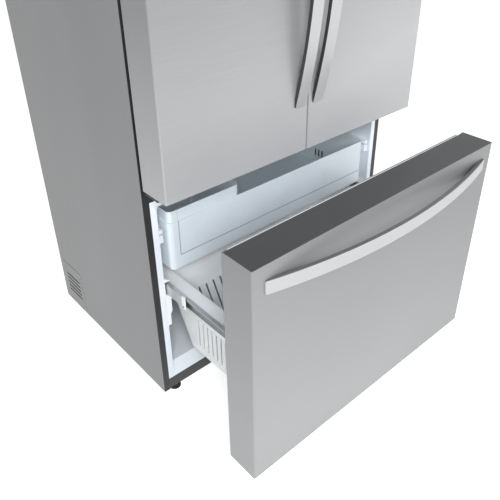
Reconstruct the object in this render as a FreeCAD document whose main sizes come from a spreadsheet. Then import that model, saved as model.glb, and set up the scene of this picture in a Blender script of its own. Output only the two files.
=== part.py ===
import FreeCAD, Part
import math
import os
import re
import Sketcher
from FreeCAD import Rotation, Vector

# French-door refrigerator with a pull-out freezer drawer below, shown with that drawer part way out.
# While it is modelled, x = 0 is the middle of the width, y = 0 the front rim of the cabinet with the
# doors at negative y, and z = 0 the floor. Every piece is modelled closed and then placed.

doc = FreeCAD.newDocument("BottomFreezerRefrigerator")
sizes = doc.addObject("Spreadsheet::Sheet", "Sizes")

# ---------------------------------------------------------------- driving dimensions, millimetres
sizeTable = [
    # cabinet
    ("caseWidth", 908, "outer width"),
    ("caseDepth", 619, "front rim to back"),
    ("caseBottom", 22, "underside of the side walls above the floor"),
    ("caseTop", 1753, "top of the cabinet above the floor"),
    ("sheetThick", 1.2, "steel sheet"),
    ("flangeWidth", 19, "front rim turned in from the side walls"),
    ("sideWall", 37, "side wall with its insulation"),
    ("roofWall", 58, "roof with its insulation"),
    ("rearWall", 59, "rear wall with its insulation"),
    ("linerThick", 2.5, "plastic liners"),
    ("linerRound", 14, "corner radius of the liners"),
    ("lipWidth", 18, "liner lip beside the crossbar"),
    ("sillBottom", 26, "lower edge of the sill"),
    ("sillTop", 64, "upper edge of the sill and of the base plate"),
    ("sillDepth", 12, "sill channel front to back"),
    ("crossbarBottom", 666, "lower edge of the bar between the compartments"),
    ("crossbarHeight", 70, "height of that bar"),
    ("crossbarDepth", 30, "depth of its steel channel"),
    ("freezerFloor", 100, "freezer floor above the floor of the room"),
    ("floorLipRun", 25, "run of the sloping front lip of the freezer floor"),
    ("stepFront", 395, "front of the sloping step over the machine space"),
    ("stepRun", 75, "run of that step"),
    ("stepTop", 280, "top of that step"),
    ("machineFront", 450, "front wall of the machine space"),
    ("machineTop", 225, "ceiling of the machine space"),
    # side vents and ribs
    ("ventFirst", 69, "lowest side vent slot"),
    ("ventPitch", 17, "rise between vent slots"),
    ("ventSlot", 6.5, "height of one vent slot"),
    ("ventLength", 88, "length of one vent slot"),
    ("ventRear", 582, "rear end of the vent slots"),
    ("ventCount", 5, "vent slots"),
    ("seamLevel", 187, "seam above the vents"),
    ("seamFront", 472, "front end of that seam and the row of short slots"),
    ("seamRear", 595, "rear end of that seam"),
    ("seamWidth", 2.5, "width of the seam and of the short slots"),
    ("dashFirst", 42, "lowest short slot"),
    ("dashLength", 13, "height of a short slot"),
    ("dashPitch", 21, "rise between short slots"),
    ("dashCount", 7, "short slots"),
    # base, feet and rollers
    ("railWidth", 38, "width of the side rails under the base"),
    ("railDrop", 34, "drop of those rails below the base plate"),
    ("footRadius", 18, "levelling foot"),
    ("footHeight", 10, "height of the foot pad"),
    ("stemRadius", 5, "levelling stem"),
    ("stemTop", 60, "top of the levelling stem"),
    ("footInset", 49, "foot axis in from the side of the cabinet"),
    ("footBack", 22, "foot axis behind the front rim"),
    ("rollerRadius", 16, "rear roller"),
    ("rollerWidth", 18, "width of a roller"),
    ("rollerBack", 572, "roller axle behind the front rim"),
    ("axleRadius", 4, "roller axle"),
    ("turnGap", 0.08, "running clearance on the radius of pins and axles"),
    ("sideGap", 0.4, "running clearance beside rollers and gears"),
    # doors and drawer front
    ("gasketGap", 12, "front rim to the back of a closed door"),
    ("panelThick", 96, "thickness of doors and drawer front"),
    ("panelGap", 4, "gap between the two doors"),
    ("doorBottom", 712, "lower edge of the doors"),
    ("doorTop", 1750, "upper edge of the doors"),
    ("drawerBottom", 36, "lower edge of the drawer front"),
    ("drawerTop", 690, "upper edge of the drawer front"),
    ("skinRound", 4, "outer corner radius of the steel skins"),
    ("returnWidth", 14, "skin turned in at the back of a door"),
    ("capThick", 15, "end caps"),
    ("gasketInset", 15, "gasket in from the edge of its panel"),
    ("gasketEnd", 6, "gasket in from the top, bottom and meeting edges"),
    ("gasketWidth", 21, "width of the gasket"),
    ("sealGap", 0.4, "gasket to the front rim"),
    ("dykeDepth", 20, "reach of the door liner's rim into the opening"),
    ("dykeWidth", 24, "width of that rim"),
    ("dykeSide", 13, "that rim to the side wall of the opening"),
    ("dykeCentre", 50, "that rim from the middle of the cabinet"),
    ("dykeEnd", 12, "that rim to the top and bottom of the opening"),
    # hinges
    ("pinInset", 18, "hinge pin in from the side of the cabinet"),
    ("pinForward", 52, "hinge pin in front of the front rim"),
    ("pinRadius", 6, "hinge pin"),
    ("pinReach", 18, "hinge pin inside the door"),
    ("hingePlate", 4, "thickness of the hinge plates"),
    ("hingeWidth", 70, "width of the hinge plates"),
    ("hingeInset", 6, "hinge plates in from the side of the cabinet"),
    ("topHingeBack", 95, "top hinge plate behind the front rim"),
    ("coverHeight", 25, "height of the hinge covers"),
    ("coverWidth", 96, "width of the hinge covers"),
    ("coverBack", 112, "hinge cover behind the front rim"),
    ("coverFront", 84, "hinge cover in front of the front rim"),
    ("coverWall", 2, "wall of the hinge covers"),
    ("centreHingeLevel", 699, "underside of the centre hinge plates"),
    # bow handles
    ("bowLength", 839, "handle end to end"),
    ("bowRise", 60, "front of a handle to its door"),
    ("bowThick", 12, "thickness of the handle bar"),
    ("bowEnd", 4, "height of the square ends of a handle"),
    ("doorBowWidth", 38, "width of the door handles"),
    ("doorBowInset", 13, "door handle from the middle of the cabinet"),
    ("doorBowBottom", 840, "lower end of the door handles"),
    ("drawerBowHeight", 36.5, "height of the drawer handle bar"),
    ("drawerBowBottom", 615, "underside of the drawer handle"),
    ("bowRound", 2.5, "edge radius of the handles"),
    ("bowCorner", 6, "corner radius of the ends of the handles"),
    # flap that closes the gap between the doors
    ("flapThick", 16, "thickness of the flap"),
    ("flapReach", 64, "flap beyond its pivot"),
    ("flapPivotSide", 34, "flap pivot from the middle of the cabinet"),
    ("flapGap", 0.8, "flap to the front rim"),
    ("flapEnd", 8, "flap brackets to the top and bottom of the opening"),
    ("flapArm", 10, "height of a flap bracket"),
    ("flapPin", 3, "radius of the flap pivots"),
    # door bins
    ("binWall", 2.5, "wall of bins, crispers and trays"),
    ("binDepth", 92, "door bins front to back"),
    ("binHeight", 96, "height of the door bins"),
    ("binFirst", 794, "lowest door bin"),
    ("binPitch", 318, "rise between door bins"),
    ("binCount", 3, "door bins on each door"),
    # drawer slides
    ("drawerOpen", 293.9, "drawer pulled out as shown"),
    ("slideLevel", 388, "middle of the slides"),
    ("slideSheet", 1.2, "sheet of the slides"),
    ("housingFace", 54, "inner face of a slide housing in from the cabinet side"),
    ("housingFront", 1, "front end of the slide housings"),
    ("housingBottom", 260, "lower edge of the slide housings"),
    ("housingTop", 422, "upper edge of the slide housings"),
    ("housingBack", 459, "rear end of the slide housings"),
    ("housingStep", 297, "step in the slide housings"),
    ("housingSlim", 11, "depth of the housings below that step"),
    ("housingSlope", 10, "drop of the top of the housings towards their face"),
    ("housingWall", 1.5, "housing behind the slide"),
    ("fixedHeight", 43.4, "height of the fixed slide member"),
    ("fixedDepth", 12.5, "depth of the fixed slide member"),
    ("fixedFront", 8, "front end of the fixed member"),
    ("fixedBack", 458, "rear end of the fixed member"),
    ("middleHeight", 33, "height of the middle member"),
    ("middleDepth", 11.5, "depth of the middle member"),
    ("middleFront", 64, "front end of the middle member, closed"),
    ("middleBack", 445, "rear end of the middle member, closed"),
    ("innerHeight", 22.6, "height of the drawer member"),
    ("innerDepth", 10.5, "depth of the drawer member"),
    ("innerBack", 462, "rear end of the drawer member, closed"),
    ("memberStep", 1.8, "space between the webs of two members"),
    ("drawerStep", 1.7, "outer face of the drawer member in from the housing face"),
    ("bearingLength", 120, "bearing strips at the rear of the moving members"),
    ("bearingWidth", 5, "width of those strips"),
    ("slideGap", 0.3, "running clearance of the slides and of what rests on them"),
    ("supportTop", 386, "ledge that carries the basket"),
    ("supportLow", 354, "lower edge of the basket supports"),
    ("supportLedge", 16, "width of that ledge"),
    ("bracketWidth", 38, "plate that joins a slide to the drawer front"),
    ("bracketHeight", 74, "height of that plate"),
    # gears that keep both slides in step
    ("gearModule", 2, "module of pinions and racks"),
    ("gearTeeth", 12, "teeth of a pinion"),
    ("gearThin", 0.27, "taken off each side of a tooth for backlash"),
    ("gearWidth", 8, "face width of a pinion"),
    ("gearBack", 446, "pinion axis behind the front rim, closed"),
    ("rackBase", 6, "rack below its teeth"),
    ("rackWidth", 12, "width of a rack"),
    ("pinionLevel", 362, "pinion axis above the floor"),
    ("rackLead", 22, "rack teeth in front of the pinion as shown"),
    ("rackTeeth", 70, "teeth of a rack"),
    ("barRadius", 4, "cross bar between the pinions"),
    # freezer basket
    ("basketFront", 8, "basket front in front of the front rim, closed"),
    ("basketBottom", 143, "underside of the basket"),
    ("basketRear", 284, "rear end of the basket floor, closed"),
    ("basketLean", 28, "lean of the basket's rear wall"),
    ("basketHalf", 356, "half width of the basket outside"),
    ("basketRound", 22, "lower corner radius of the basket"),
    ("basketRim", 388.5, "top of the basket rim"),
    ("rimThick", 2.2, "thickness of the rim"),
    ("rimReach", 390, "half width over the rim"),
    ("rimRear", 22, "rim behind the rear wall"),
    ("sideSlotLow", 186, "lower end of the side slots"),
    ("sideSlotHigh", 280, "upper end of the side slots"),
    ("sideSlotPitch", 20, "pitch of the side slots"),
    ("sideSlotCount", 12, "side slots"),
    ("rearSlotPitch", 26.5, "pitch of the rear slots"),
    ("rearSlotCount", 23, "rear slots"),
    ("rearSlotLow", 165, "lower end of the rear slots"),
    ("rearSlotHigh", 281, "upper end of the rear slots"),
    ("slotWidth", 6, "width of a slot"),
    # freezer tray
    ("trayHalf", 385, "half width of the tray outside"),
    ("trayFront", 2, "front of the tray behind the front rim"),
    ("trayBack", 422, "rear of the tray"),
    ("trayBottom", 428, "underside of the tray"),
    ("trayTop", 580, "top edge of the tray"),
    ("trayRound", 16, "corner radius of the tray"),
    ("trayPanel", 355, "upright groove of the tray front, left of the middle"),
    ("trayGroove", 474, "level groove of the tray front"),
    ("grooveDepth", 1.2, "depth of those grooves and half their width"),
    ("ledgeBottom", 531, "lower edge of the tray ledges"),
    ("ledgeTop", 553, "top of the tray ledges"),
    ("ledgeFace", 53, "inner face of a ledge in from the cabinet side"),
    ("runnerGap", 0.3, "tray runner above its ledge"),
    ("runnerThick", 3, "tray runners"),
    ("runnerSide", 1.5, "tray runners to the side walls"),
    ("guideGap", 4, "guide rib above the runner"),
    ("guideHeight", 9, "height of the guide rib"),
    ("looseBinRight", 145, "right wall of the loose bin left of the middle"),
    ("looseBinBack", 250, "rear of the loose bin"),
    ("looseBinTop", 612, "rim of the loose bin"),
    # freezer air system
    ("coverFace", 470, "front of the evaporator cover"),
    ("coverThick", 3, "evaporator cover"),
    ("coverHalf", 402, "half width of the evaporator cover"),
    ("grilleCount", 9, "slots of the cover in front of the fan"),
    ("inletCount", 31, "air inlets along the foot of the cover"),
    ("coilHalf", 300, "half length of the evaporator"),
    ("coilBack", 522, "middle of the evaporator"),
    ("coilTubes", 6, "passes of each coil"),
    ("endPlate", 1.5, "end plates of the coils"),
    ("coilPitch", 30, "pitch of the passes"),
    ("coilTube", 4, "tube radius"),
    ("finCount", 17, "fins of the evaporator"),
    ("finThick", 1, "thickness of a fin"),
    ("finInset", 10, "outermost fins in from the ends of a coil"),
    ("finDepth", 46, "depth of a fin"),
    ("coilBottom", 296, "lower edge of the evaporator fins"),
    ("fanLevel", 560, "axis of the freezer fan"),
    ("fanRadius", 52, "freezer fan"),
    ("fanDepth", 20, "depth of the fan blades"),
    ("fanHub", 15, "hub radius of the fans"),
    ("fanBlades", 5, "blades of a fan"),
    ("bladeThick", 1.8, "thickness of a blade"),
    ("bladeRoot", 22, "chord of a blade at its root"),
    ("bladeEnd", 40, "chord of a blade at its tip"),
    ("bladePitch", 32, "pitch angle of a blade at its root"),
    ("bladeTip", 18, "pitch angle of a blade at its tip"),
    ("motorRadius", 22, "fan motor"),
    ("motorLength", 34, "fan motor"),
    ("shaftRadius", 3, "fan shaft"),
    ("shaftReach", 14, "fan shaft in front of its motor"),
    ("fanClear", 4, "fan tip to its ring"),
    # machine space
    ("pumpRadius", 68, "compressor shell"),
    ("pumpHeight", 132, "compressor shell"),
    ("pumpSide", 300, "compressor axis right of the middle"),
    ("pumpBack", 536, "compressor axis behind the front rim"),
    ("pumpLift", 12, "compressor base above the base plate"),
    ("grommetRadius", 9, "rubber feet of the compressor"),
    ("condenserHalf", 110, "half length of the condenser"),
    ("condenserSide", 290, "middle of the condenser left of the middle"),
    ("condenserBack", 536, "middle of the condenser"),
    ("condenserFins", 9, "fins of the condenser"),
    ("condenserDepth", 60, "depth of a condenser fin"),
    ("condenserBottom", 78, "underside of the condenser fins"),
    ("condenserPitch", 20, "pitch of the condenser passes"),
    ("coolerSide", 96, "axis plane of the condenser fan left of the middle"),
    ("coolerLevel", 140, "axis of the condenser fan"),
    ("panHalf", 84, "half width of the drain pan"),
    ("panSide", 96, "drain pan right of the middle"),
    ("panDepth", 120, "drain pan front to back"),
    ("panHeight", 34, "height of the drain pan"),
    ("louvreCount", 8, "rows of louvres in the rear cover"),
    ("louvrePitch", 16, "rise between louvres"),
    ("louvreHeight", 6, "height of a louvre"),
    ("louvreHalf", 120, "half length of a louvre"),
    # refrigerator compartment
    ("ribHeight", 9, "ribs that carry the cover glasses"),
    ("pantryTop", 888, "top of the pantry drawer"),
    ("lowCover", 892, "underside of the lower cover glass"),
    ("crisperTop", 1072, "top of the crispers"),
    ("highCover", 1076, "underside of the upper cover glass"),
    ("glassThick", 5, "glass shelves and covers"),
    ("crisperFront", 160, "front of crispers and pantry drawer"),
    ("crisperBack", 536, "rear of crispers and pantry drawer"),
    ("crisperSide", 12, "crisper to the side wall"),
    ("crisperGap", 12, "between the two crispers"),
    ("gripDepth", 14, "finger lip at the front of a crisper"),
    ("shelfFront", 150, "front of the glass shelves"),
    ("shelfLow", 1270, "lower glass shelf"),
    ("shelfMid", 1380, "right-hand glass shelf"),
    ("shelfHigh", 1490, "upper glass shelf"),
    ("shelfHalf", 196, "half width of a glass shelf"),
    ("shelfCentre", 204, "middle of a glass shelf from the middle of the cabinet"),
    ("frameHeight", 14, "rim of a glass shelf"),
    ("frameWidth", 10, "width of that rim"),
    ("armThick", 3, "arms under a glass shelf"),
    ("armLength", 160, "reach of those arms"),
    ("armHeight", 34, "height of those arms at the wall"),
    ("trackInner", 166, "inner shelf tracks from the middle"),
    ("trackOuter", 372, "outer shelf tracks from the middle"),
    ("trackWidth", 16, "shelf tracks"),
    ("trackDepth", 5, "shelf tracks"),
    ("trackLow", 1110, "lower end of the shelf tracks"),
    ("trackHigh", 1650, "upper end of the shelf tracks"),
    ("trackSlotPitch", 36, "pitch of the slots in the tracks"),
    ("ductHalf", 150, "half width of the air duct"),
    ("ductDepth", 16, "depth of the air duct"),
    ("ductLow", 1100, "lower end of the air duct"),
    ("ductHigh", 1670, "upper end of the air duct"),
    ("ductVents", 6, "outlets of the air duct"),
    ("ductVentPitch", 84, "pitch of the outlets"),
]
for row, (alias, value, note) in enumerate(sizeTable, 1):
    sizes.set("A%d" % row, alias)
    sizes.set("B%d" % row, str(value))
    sizes.set("C%d" % row, note)
    sizes.setAlias("B%d" % row, alias)
doc.recompute()

knownName = re.compile(r"\b(" + "|".join(alias for alias, value, note in sizeTable) + r")\b")
placedPieces = []


def size(alias):
    """Value of one driving dimension."""
    return float(getattr(sizes, alias))


def bind(thing, prop, text):
    """Tie a property to an expression written with the names of the driving dimensions."""
    thing.setExpression(prop, knownName.sub(r"Sizes.\1", text))


def moveTo(piece, x, y, z):
    for axis, text in zip("xyz", (x, y, z)):
        bind(piece, "Placement.Base." + axis, text)


def place(piece, slide="0", at=("0", "0", "0")):
    """Put a finished piece in the part's frame, pulled forward by slide. A piece drawn about its own
    axis goes to the point at."""
    moveTo(piece, at[0], "%s - (%s) - (%s)" % (at[1], middleY, slide), at[2])
    placedPieces.append(piece)


def placeTwin(piece):
    """The right-hand copy of a left-hand piece."""
    placedPieces.append(mirrored(piece, piece.Label.replace("left", "right")))


# ---------------------------------------------------------------- places worked out from the sizes
half = "caseWidth/2"
middleY = "(caseDepth - gasketGap - panelThick - bowRise - drawerOpen)/2"
wallX = "(caseWidth/2 - sideWall)"
outerWallX = "(caseWidth/2 - sideWall + linerThick)"
flangeX = "(caseWidth/2 - flangeWidth)"
rearY = "(caseDepth - rearWall)"
freezerTop = "(crossbarBottom - lipWidth)"
fridgeBottom = "(crossbarBottom + crossbarHeight + lipWidth)"
fridgeTop = "(caseTop - roofWall)"
frontY = "-(gasketGap + panelThick)"
pinX = "-(caseWidth/2 - pinInset)"
pinY = "-pinForward"
housingX = "-(caseWidth/2 - housingFace)"


# ---------------------------------------------------------------- building blocks
def newBody(label):
    body = doc.addObject("PartDesign::Body", label)
    body.Label = label
    return body


def originPlane(body, role):
    return [item for item in body.Origin.OriginFeatures if item.Role == role][0]


def newSketch(body, role, offset):
    sketch = body.newObject("Sketcher::SketchObject", "Sketch")
    sketch.AttachmentSupport = [(originPlane(body, role), "")]
    sketch.MapMode = "FlatFace"
    bind(sketch, "AttachmentOffset.Base.z", offset)
    return sketch


def drawOutline(sketch, corners):
    """A closed outline whose corners (u, v) are expressions."""
    count = len(corners)
    first = sketch.GeometryCount
    around = [Vector(100 * math.cos(2 * math.pi * i / count), 100 * math.sin(2 * math.pi * i / count), 0)
              for i in range(count)]
    for i in range(count):
        sketch.addGeometry(Part.LineSegment(around[i], around[(i + 1) % count]))
    for i in range(count):
        joint = Sketcher.Constraint("Coincident", first + i, 2, first + (i + 1) % count, 1)
        sketch.addConstraint(joint)
    for i, corner in enumerate(corners):
        for kind, text in zip(("DistanceX", "DistanceY"), corner):
            number = sketch.addConstraint(Sketcher.Constraint(kind, -1, 1, first + i, 1, 50.0 + i))
            bind(sketch, "Constraints[%d]" % number, text)


def drawCircle(sketch, u, v, radius):
    number = sketch.addGeometry(Part.Circle(Vector(10, 10, 0), Vector(0, 0, 1), 5))
    for kind, text in (("DistanceX", u), ("DistanceY", v)):
        distance = sketch.addConstraint(Sketcher.Constraint(kind, -1, 1, number, 3, 10.0))
        bind(sketch, "Constraints[%d]" % distance, text)
    last = sketch.addConstraint(Sketcher.Constraint("Radius", number, 5.0))
    bind(sketch, "Constraints[%d]" % last, radius)


def rectangle(u0, v0, u1, v1):
    return [(u0, v0), (u1, v0), (u1, v1), (u0, v1)]


def extrude(body, role, outlines, length, start="0", back=False, both=False, cut=False):
    """Pad or pocket outlines drawn on an origin plane. They grow towards +Z, -Y or +X from the plane,
    or the other way when back is set."""
    kind = "PartDesign::Pocket" if cut else "PartDesign::Pad"
    sketch = newSketch(body, role, start)
    for corners in outlines:
        if len(corners) == 3:
            drawCircle(sketch, *corners)
        else:
            drawOutline(sketch, corners)
    feature = body.newObject(kind, "Cut" if cut else "Form")
    feature.Profile = sketch
    feature.Midplane = both
    feature.Reversed = back != cut
    bind(feature, "Length", length)
    body.Tip = feature
    return feature


def edgesWhere(shape, test):
    """Names of the edges whose middle point and direction pass the test."""
    names = []
    for number, edge in enumerate(shape.Edges, 1):
        middle = edge.valueAt((edge.FirstParameter + edge.LastParameter) / 2)
        tangent = edge.tangentAt((edge.FirstParameter + edge.LastParameter) / 2)
        if test(middle, tangent):
            names.append("Edge%d" % number)
    return names


def roundEdges(body, radius, test):
    doc.recompute()
    base = body.Tip
    names = edgesWhere(base.Shape, test)
    feature = body.newObject("PartDesign::Fillet", "Round")
    feature.Base = (base, names)
    bind(feature, "Radius", radius)
    body.Tip = feature
    return feature


def hollow(body, wall, openFace):
    """Shell a body inwards; openFace(centre, normal) picks the faces left open."""
    doc.recompute()
    base = body.Tip
    names = []
    for number, face in enumerate(base.Shape.Faces, 1):
        if openFace(face.CenterOfMass, face.normalAt(0, 0)):
            names.append("Face%d" % number)
    feature = body.newObject("PartDesign::Thickness", "Shell")
    feature.Base = (base, names)
    feature.Reversed = True
    feature.Join = 1
    bind(feature, "Value", wall)
    body.Tip = feature
    return feature


def repeat(body, feature, axisRole, step, count, back=False):
    """Repeat a feature along an origin axis."""
    pattern = body.newObject("PartDesign::LinearPattern", "Row")
    pattern.Originals = [feature]
    pattern.Direction = (originPlane(body, axisRole), [""])
    pattern.Reversed = back
    bind(pattern, "Length", "(%s)*(%s - 1)" % (step, count))
    bind(pattern, "Occurrences", count)
    body.Tip = pattern
    return pattern


def mirrorAcross(body, features):
    """Repeat features on the other side of the cabinet's middle."""
    twin = body.newObject("PartDesign::Mirrored", "OtherSide")
    twin.Originals = features
    twin.MirrorPlane = (originPlane(body, "YZ_Plane"), [""])
    body.Tip = twin
    return twin


def mirrored(source, label):
    """The same piece for the other side of the cabinet."""
    twin = doc.addObject("Part::Mirroring", label)
    twin.Source = source
    twin.Normal = (1, 0, 0)
    twin.Label = label
    return twin


def group(label, members):
    """Like pieces kept together as separate solids."""
    together = doc.addObject("Part::Compound", label)
    together.Links = members
    together.Label = label
    return together


def pair(label, source, slide="0"):
    """A piece and its twin on the other side."""
    source.Label = label + "Left"
    both = group(label, [source, mirrored(source, label + "Right")])
    place(both, slide)
    return both


def along(axis):
    """Test for edges that run along x, y or z."""
    number = "xyz".index(axis)
    return lambda middle, tangent: abs(abs(tangent[number]) - 1) < 1e-6


# ---------------------------------------------------------------- cabinet shell
def makeOuterCase():
    body = newBody("outer_case")
    inner = "(caseWidth/2 - sheetThick)"
    section = [("-" + half, "caseBottom"), ("-" + half, "caseTop"), (half, "caseTop"), (half, "caseBottom"),
               (inner, "caseBottom"), (inner, "caseTop - sheetThick"),
               ("-" + inner, "caseTop - sheetThick"), ("-" + inner, "caseBottom")]
    extrude(body, "XZ_Plane", [section], "caseDepth", back=True)
    rim = [("-" + half, "caseBottom"), ("-" + half, "caseTop"), (half, "caseTop"), (half, "caseBottom"),
           (flangeX, "caseBottom"), (flangeX, "caseTop - flangeWidth"),
           ("-" + flangeX, "caseTop - flangeWidth"), ("-" + flangeX, "caseBottom")]
    extrude(body, "XZ_Plane", [rim], "sheetThick", back=True)
    slot = rectangle("ventRear - ventLength", "ventFirst", "ventRear", "ventFirst + ventSlot")
    vents = extrude(body, "YZ_Plane", [slot], "2*sheetThick", start="-caseWidth/2 - sheetThick/2", cut=True)
    repeat(body, vents, "Z_Axis", "ventPitch", "ventCount")
    seam = rectangle("seamFront", "seamLevel", "seamRear", "seamLevel + seamWidth")
    extrude(body, "YZ_Plane", [seam], "2*sheetThick", start="-caseWidth/2 - sheetThick/2", cut=True)
    dash = rectangle("seamFront", "dashFirst", "seamFront + seamWidth", "dashFirst + dashLength")
    dashes = extrude(body, "YZ_Plane", [dash], "2*sheetThick", start="-caseWidth/2 - sheetThick/2",
                     cut=True)
    repeat(body, dashes, "Z_Axis", "dashPitch", "dashCount")
    place(body)
    return body


def makeBackPanel():
    body = newBody("back_panel")
    sheet = rectangle("-caseWidth/2 + sheetThick", "machineTop", "caseWidth/2 - sheetThick",
                      "caseTop - sheetThick")
    extrude(body, "XZ_Plane", [sheet], "sheetThick", start="-caseDepth")
    place(body)


def makeRearCover():
    """Louvred cover of the machine space."""
    body = newBody("rear_cover")
    sheet = rectangle("-caseWidth/2 + sheetThick", "sillTop", "caseWidth/2 - sheetThick", "machineTop")
    extrude(body, "XZ_Plane", [sheet], "sheetThick", start="-caseDepth")
    slot = rectangle("-caseWidth/4 - louvreHalf", "sillTop + louvrePitch",
                     "-caseWidth/4 + louvreHalf", "sillTop + louvrePitch + louvreHeight")
    cut = extrude(body, "XZ_Plane", [slot], "3*sheetThick", start="-caseDepth - sheetThick", cut=True)
    repeat(body, cut, "Z_Axis", "louvrePitch", "louvreCount")
    other = rectangle("caseWidth/4 - louvreHalf", "sillTop + louvrePitch",
                      "caseWidth/4 + louvreHalf", "sillTop + louvrePitch + louvreHeight")
    cut = extrude(body, "XZ_Plane", [other], "3*sheetThick", start="-caseDepth - sheetThick", cut=True)
    repeat(body, cut, "Z_Axis", "louvrePitch", "louvreCount")
    place(body)


def makeBaseFrame():
    """Base plate with a channel down each side that carries a foot in front and a roller behind."""
    body = newBody("base_frame")
    plate = rectangle("-caseWidth/2 + sheetThick", "sillTop - sheetThick",
                      "caseWidth/2 - sheetThick", "sillTop")
    extrude(body, "XZ_Plane", [plate], "caseDepth - 2*sheetThick", start="-sheetThick", back=True)
    earGap = "(rollerWidth/2 + sideGap)"
    feet = "(-caseWidth/2 + footInset)"
    low = "(sillTop - railDrop)"
    channel = [(feet + " - railWidth/2", "sillTop - sheetThick"), (feet + " - railWidth/2", low),
               (feet + " + railWidth/2", low), (feet + " + railWidth/2", "sillTop - sheetThick"),
               (feet + " + railWidth/2 - sheetThick", "sillTop - sheetThick"),
               (feet + " + railWidth/2 - sheetThick", low + " + sheetThick"),
               (feet + " - railWidth/2 + sheetThick", low + " + sheetThick"),
               (feet + " - railWidth/2 + sheetThick", "sillTop - sheetThick")]
    rail = extrude(body, "XZ_Plane", [channel], "rollerBack - sillDepth - 2*rollerRadius",
                   start="-sillDepth - sheetThick", back=True)
    boss = extrude(body, "XY_Plane", [(feet, "footBack", "1.6*stemRadius")],
                   "railDrop - 2*sheetThick", start=low + " + sheetThick")
    hole = extrude(body, "XY_Plane", [(feet, "footBack", "stemRadius + turnGap")],
                   "sillTop - caseBottom", start=low + " - sheetThick", cut=True)
    mirrorAcross(body, [rail, boss, hole])
    ears = []
    for sign in ("-", "+"):
        inside = feet + sign + earGap
        outside = inside + sign + "2*sheetThick"
        ear = [(inside, "sillTop - sheetThick"), (inside, "rollerRadius - 2*axleRadius"),
               (outside, "rollerRadius - 2*axleRadius"), (outside, "sillTop - sheetThick")]
        ears.append(extrude(body, "XZ_Plane", [ear], "4*axleRadius", start="-rollerBack - 2*axleRadius"))
    axle = extrude(body, "YZ_Plane", [("rollerBack", "rollerRadius", "axleRadius")],
                   "rollerWidth + 2*sideGap + 2*sheetThick", start=feet + " - " + earGap + " - sheetThick")
    mirrorAcross(body, ears + [axle])
    place(body)


def makeSill():
    body = newBody("front_sill")
    section = [("0", "sillBottom"), ("sillDepth", "sillBottom"), ("sillDepth", "sillBottom + sheetThick"),
               ("sheetThick", "sillBottom + sheetThick"), ("sheetThick", "sillTop - 2*sheetThick"),
               ("sillDepth", "sillTop - 2*sheetThick"), ("sillDepth", "sillTop - sheetThick"),
               ("sheetThick", "sillTop - sheetThick"), ("sheetThick", "sillTop"), ("0", "sillTop")]
    extrude(body, "YZ_Plane", [section], "2*(" + flangeX + ")", both=True)
    place(body)


def makeCrossbar():
    body = newBody("crossbar")
    high = "(crossbarBottom + crossbarHeight)"
    section = [("0", "crossbarBottom"), ("crossbarDepth", "crossbarBottom"),
               ("crossbarDepth", "crossbarBottom + sheetThick"),
               ("sheetThick", "crossbarBottom + sheetThick"), ("sheetThick", high + " - sheetThick"),
               ("crossbarDepth", high + " - sheetThick"), ("crossbarDepth", high), ("0", high)]
    extrude(body, "YZ_Plane", [section], "2*(" + flangeX + ")", both=True)
    place(body)


# ---------------------------------------------------------------- liners and insulation
def freezerCore(body):
    """Outside of the freezer liner, with the sloping step over the machine space."""
    section = [("0", "sillTop"), ("floorLipRun", "freezerFloor - linerThick"),
               ("stepFront", "freezerFloor - linerThick"), ("stepFront + stepRun", "stepTop - linerThick"),
               (rearY + " + linerThick", "stepTop - linerThick"),
               (rearY + " + linerThick", freezerTop + " + linerThick"),
               ("0", freezerTop + " + linerThick")]
    extrude(body, "YZ_Plane", [section], "2*(" + outerWallX + ")", both=True)
    rim = size("caseWidth") / 2 - size("sideWall")
    roundEdges(body, "linerRound", lambda middle, tangent: along("y")(middle, tangent)
               and abs(middle.x) > rim and middle.z > size("stepTop"))


def fridgeCore(body):
    section = rectangle("-" + outerWallX, fridgeBottom + " - linerThick",
                        outerWallX, fridgeTop + " + linerThick")
    extrude(body, "XZ_Plane", [section], rearY + " + linerThick", back=True)
    roundEdges(body, "linerRound", along("y"))


def atFront(centre, normal):
    return abs(centre.y) < 1e-6 and abs(normal.y) > 0.99


def linerRim(body, low, innerLow, innerHigh, high):
    """Flat rim of a liner that lies against the front rim of the cabinet."""
    rim = rectangle("-" + flangeX, low, flangeX, high)
    mouth = rectangle("-" + outerWallX, innerLow, outerWallX, innerHigh)
    extrude(body, "XZ_Plane", [rim, mouth], "linerThick", back=True)


def makeFreezerLiner():
    body = newBody("freezer_liner")
    freezerCore(body)
    hollow(body, "linerThick", atFront)
    linerRim(body, "sillTop", "sillTop + linerThick", freezerTop + " + linerThick", "crossbarBottom")
    ledge = rectangle("-" + wallX, "ledgeBottom", "-caseWidth/2 + ledgeFace", "ledgeTop")
    guide = rectangle("-" + wallX, "ledgeTop + runnerGap + runnerThick + guideGap",
                      "-caseWidth/2 + ledgeFace",
                      "ledgeTop + runnerGap + runnerThick + guideGap + guideHeight")
    rails = extrude(body, "XZ_Plane", [ledge, guide], "coverFace - fixedFront", start="-fixedFront",
                    back=True)
    mirrorAcross(body, [rails])
    place(body)


def makeFridgeLiner():
    body = newBody("fridge_liner")
    fridgeCore(body)
    hollow(body, "linerThick", atFront)
    linerRim(body, "crossbarBottom + crossbarHeight", fridgeBottom + " - linerThick",
             fridgeTop + " + linerThick", "caseTop - flangeWidth")
    ribs = []
    for under in ("lowCover", "highCover"):
        ribs.append(rectangle("-" + wallX, under + " - ribHeight", "-" + wallX + " + crisperSide", under))
    shelves = extrude(body, "XZ_Plane", ribs, "crisperBack - crisperFront", start="-crisperFront",
                      back=True)
    mirrorAcross(body, [shelves])
    place(body)


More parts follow.
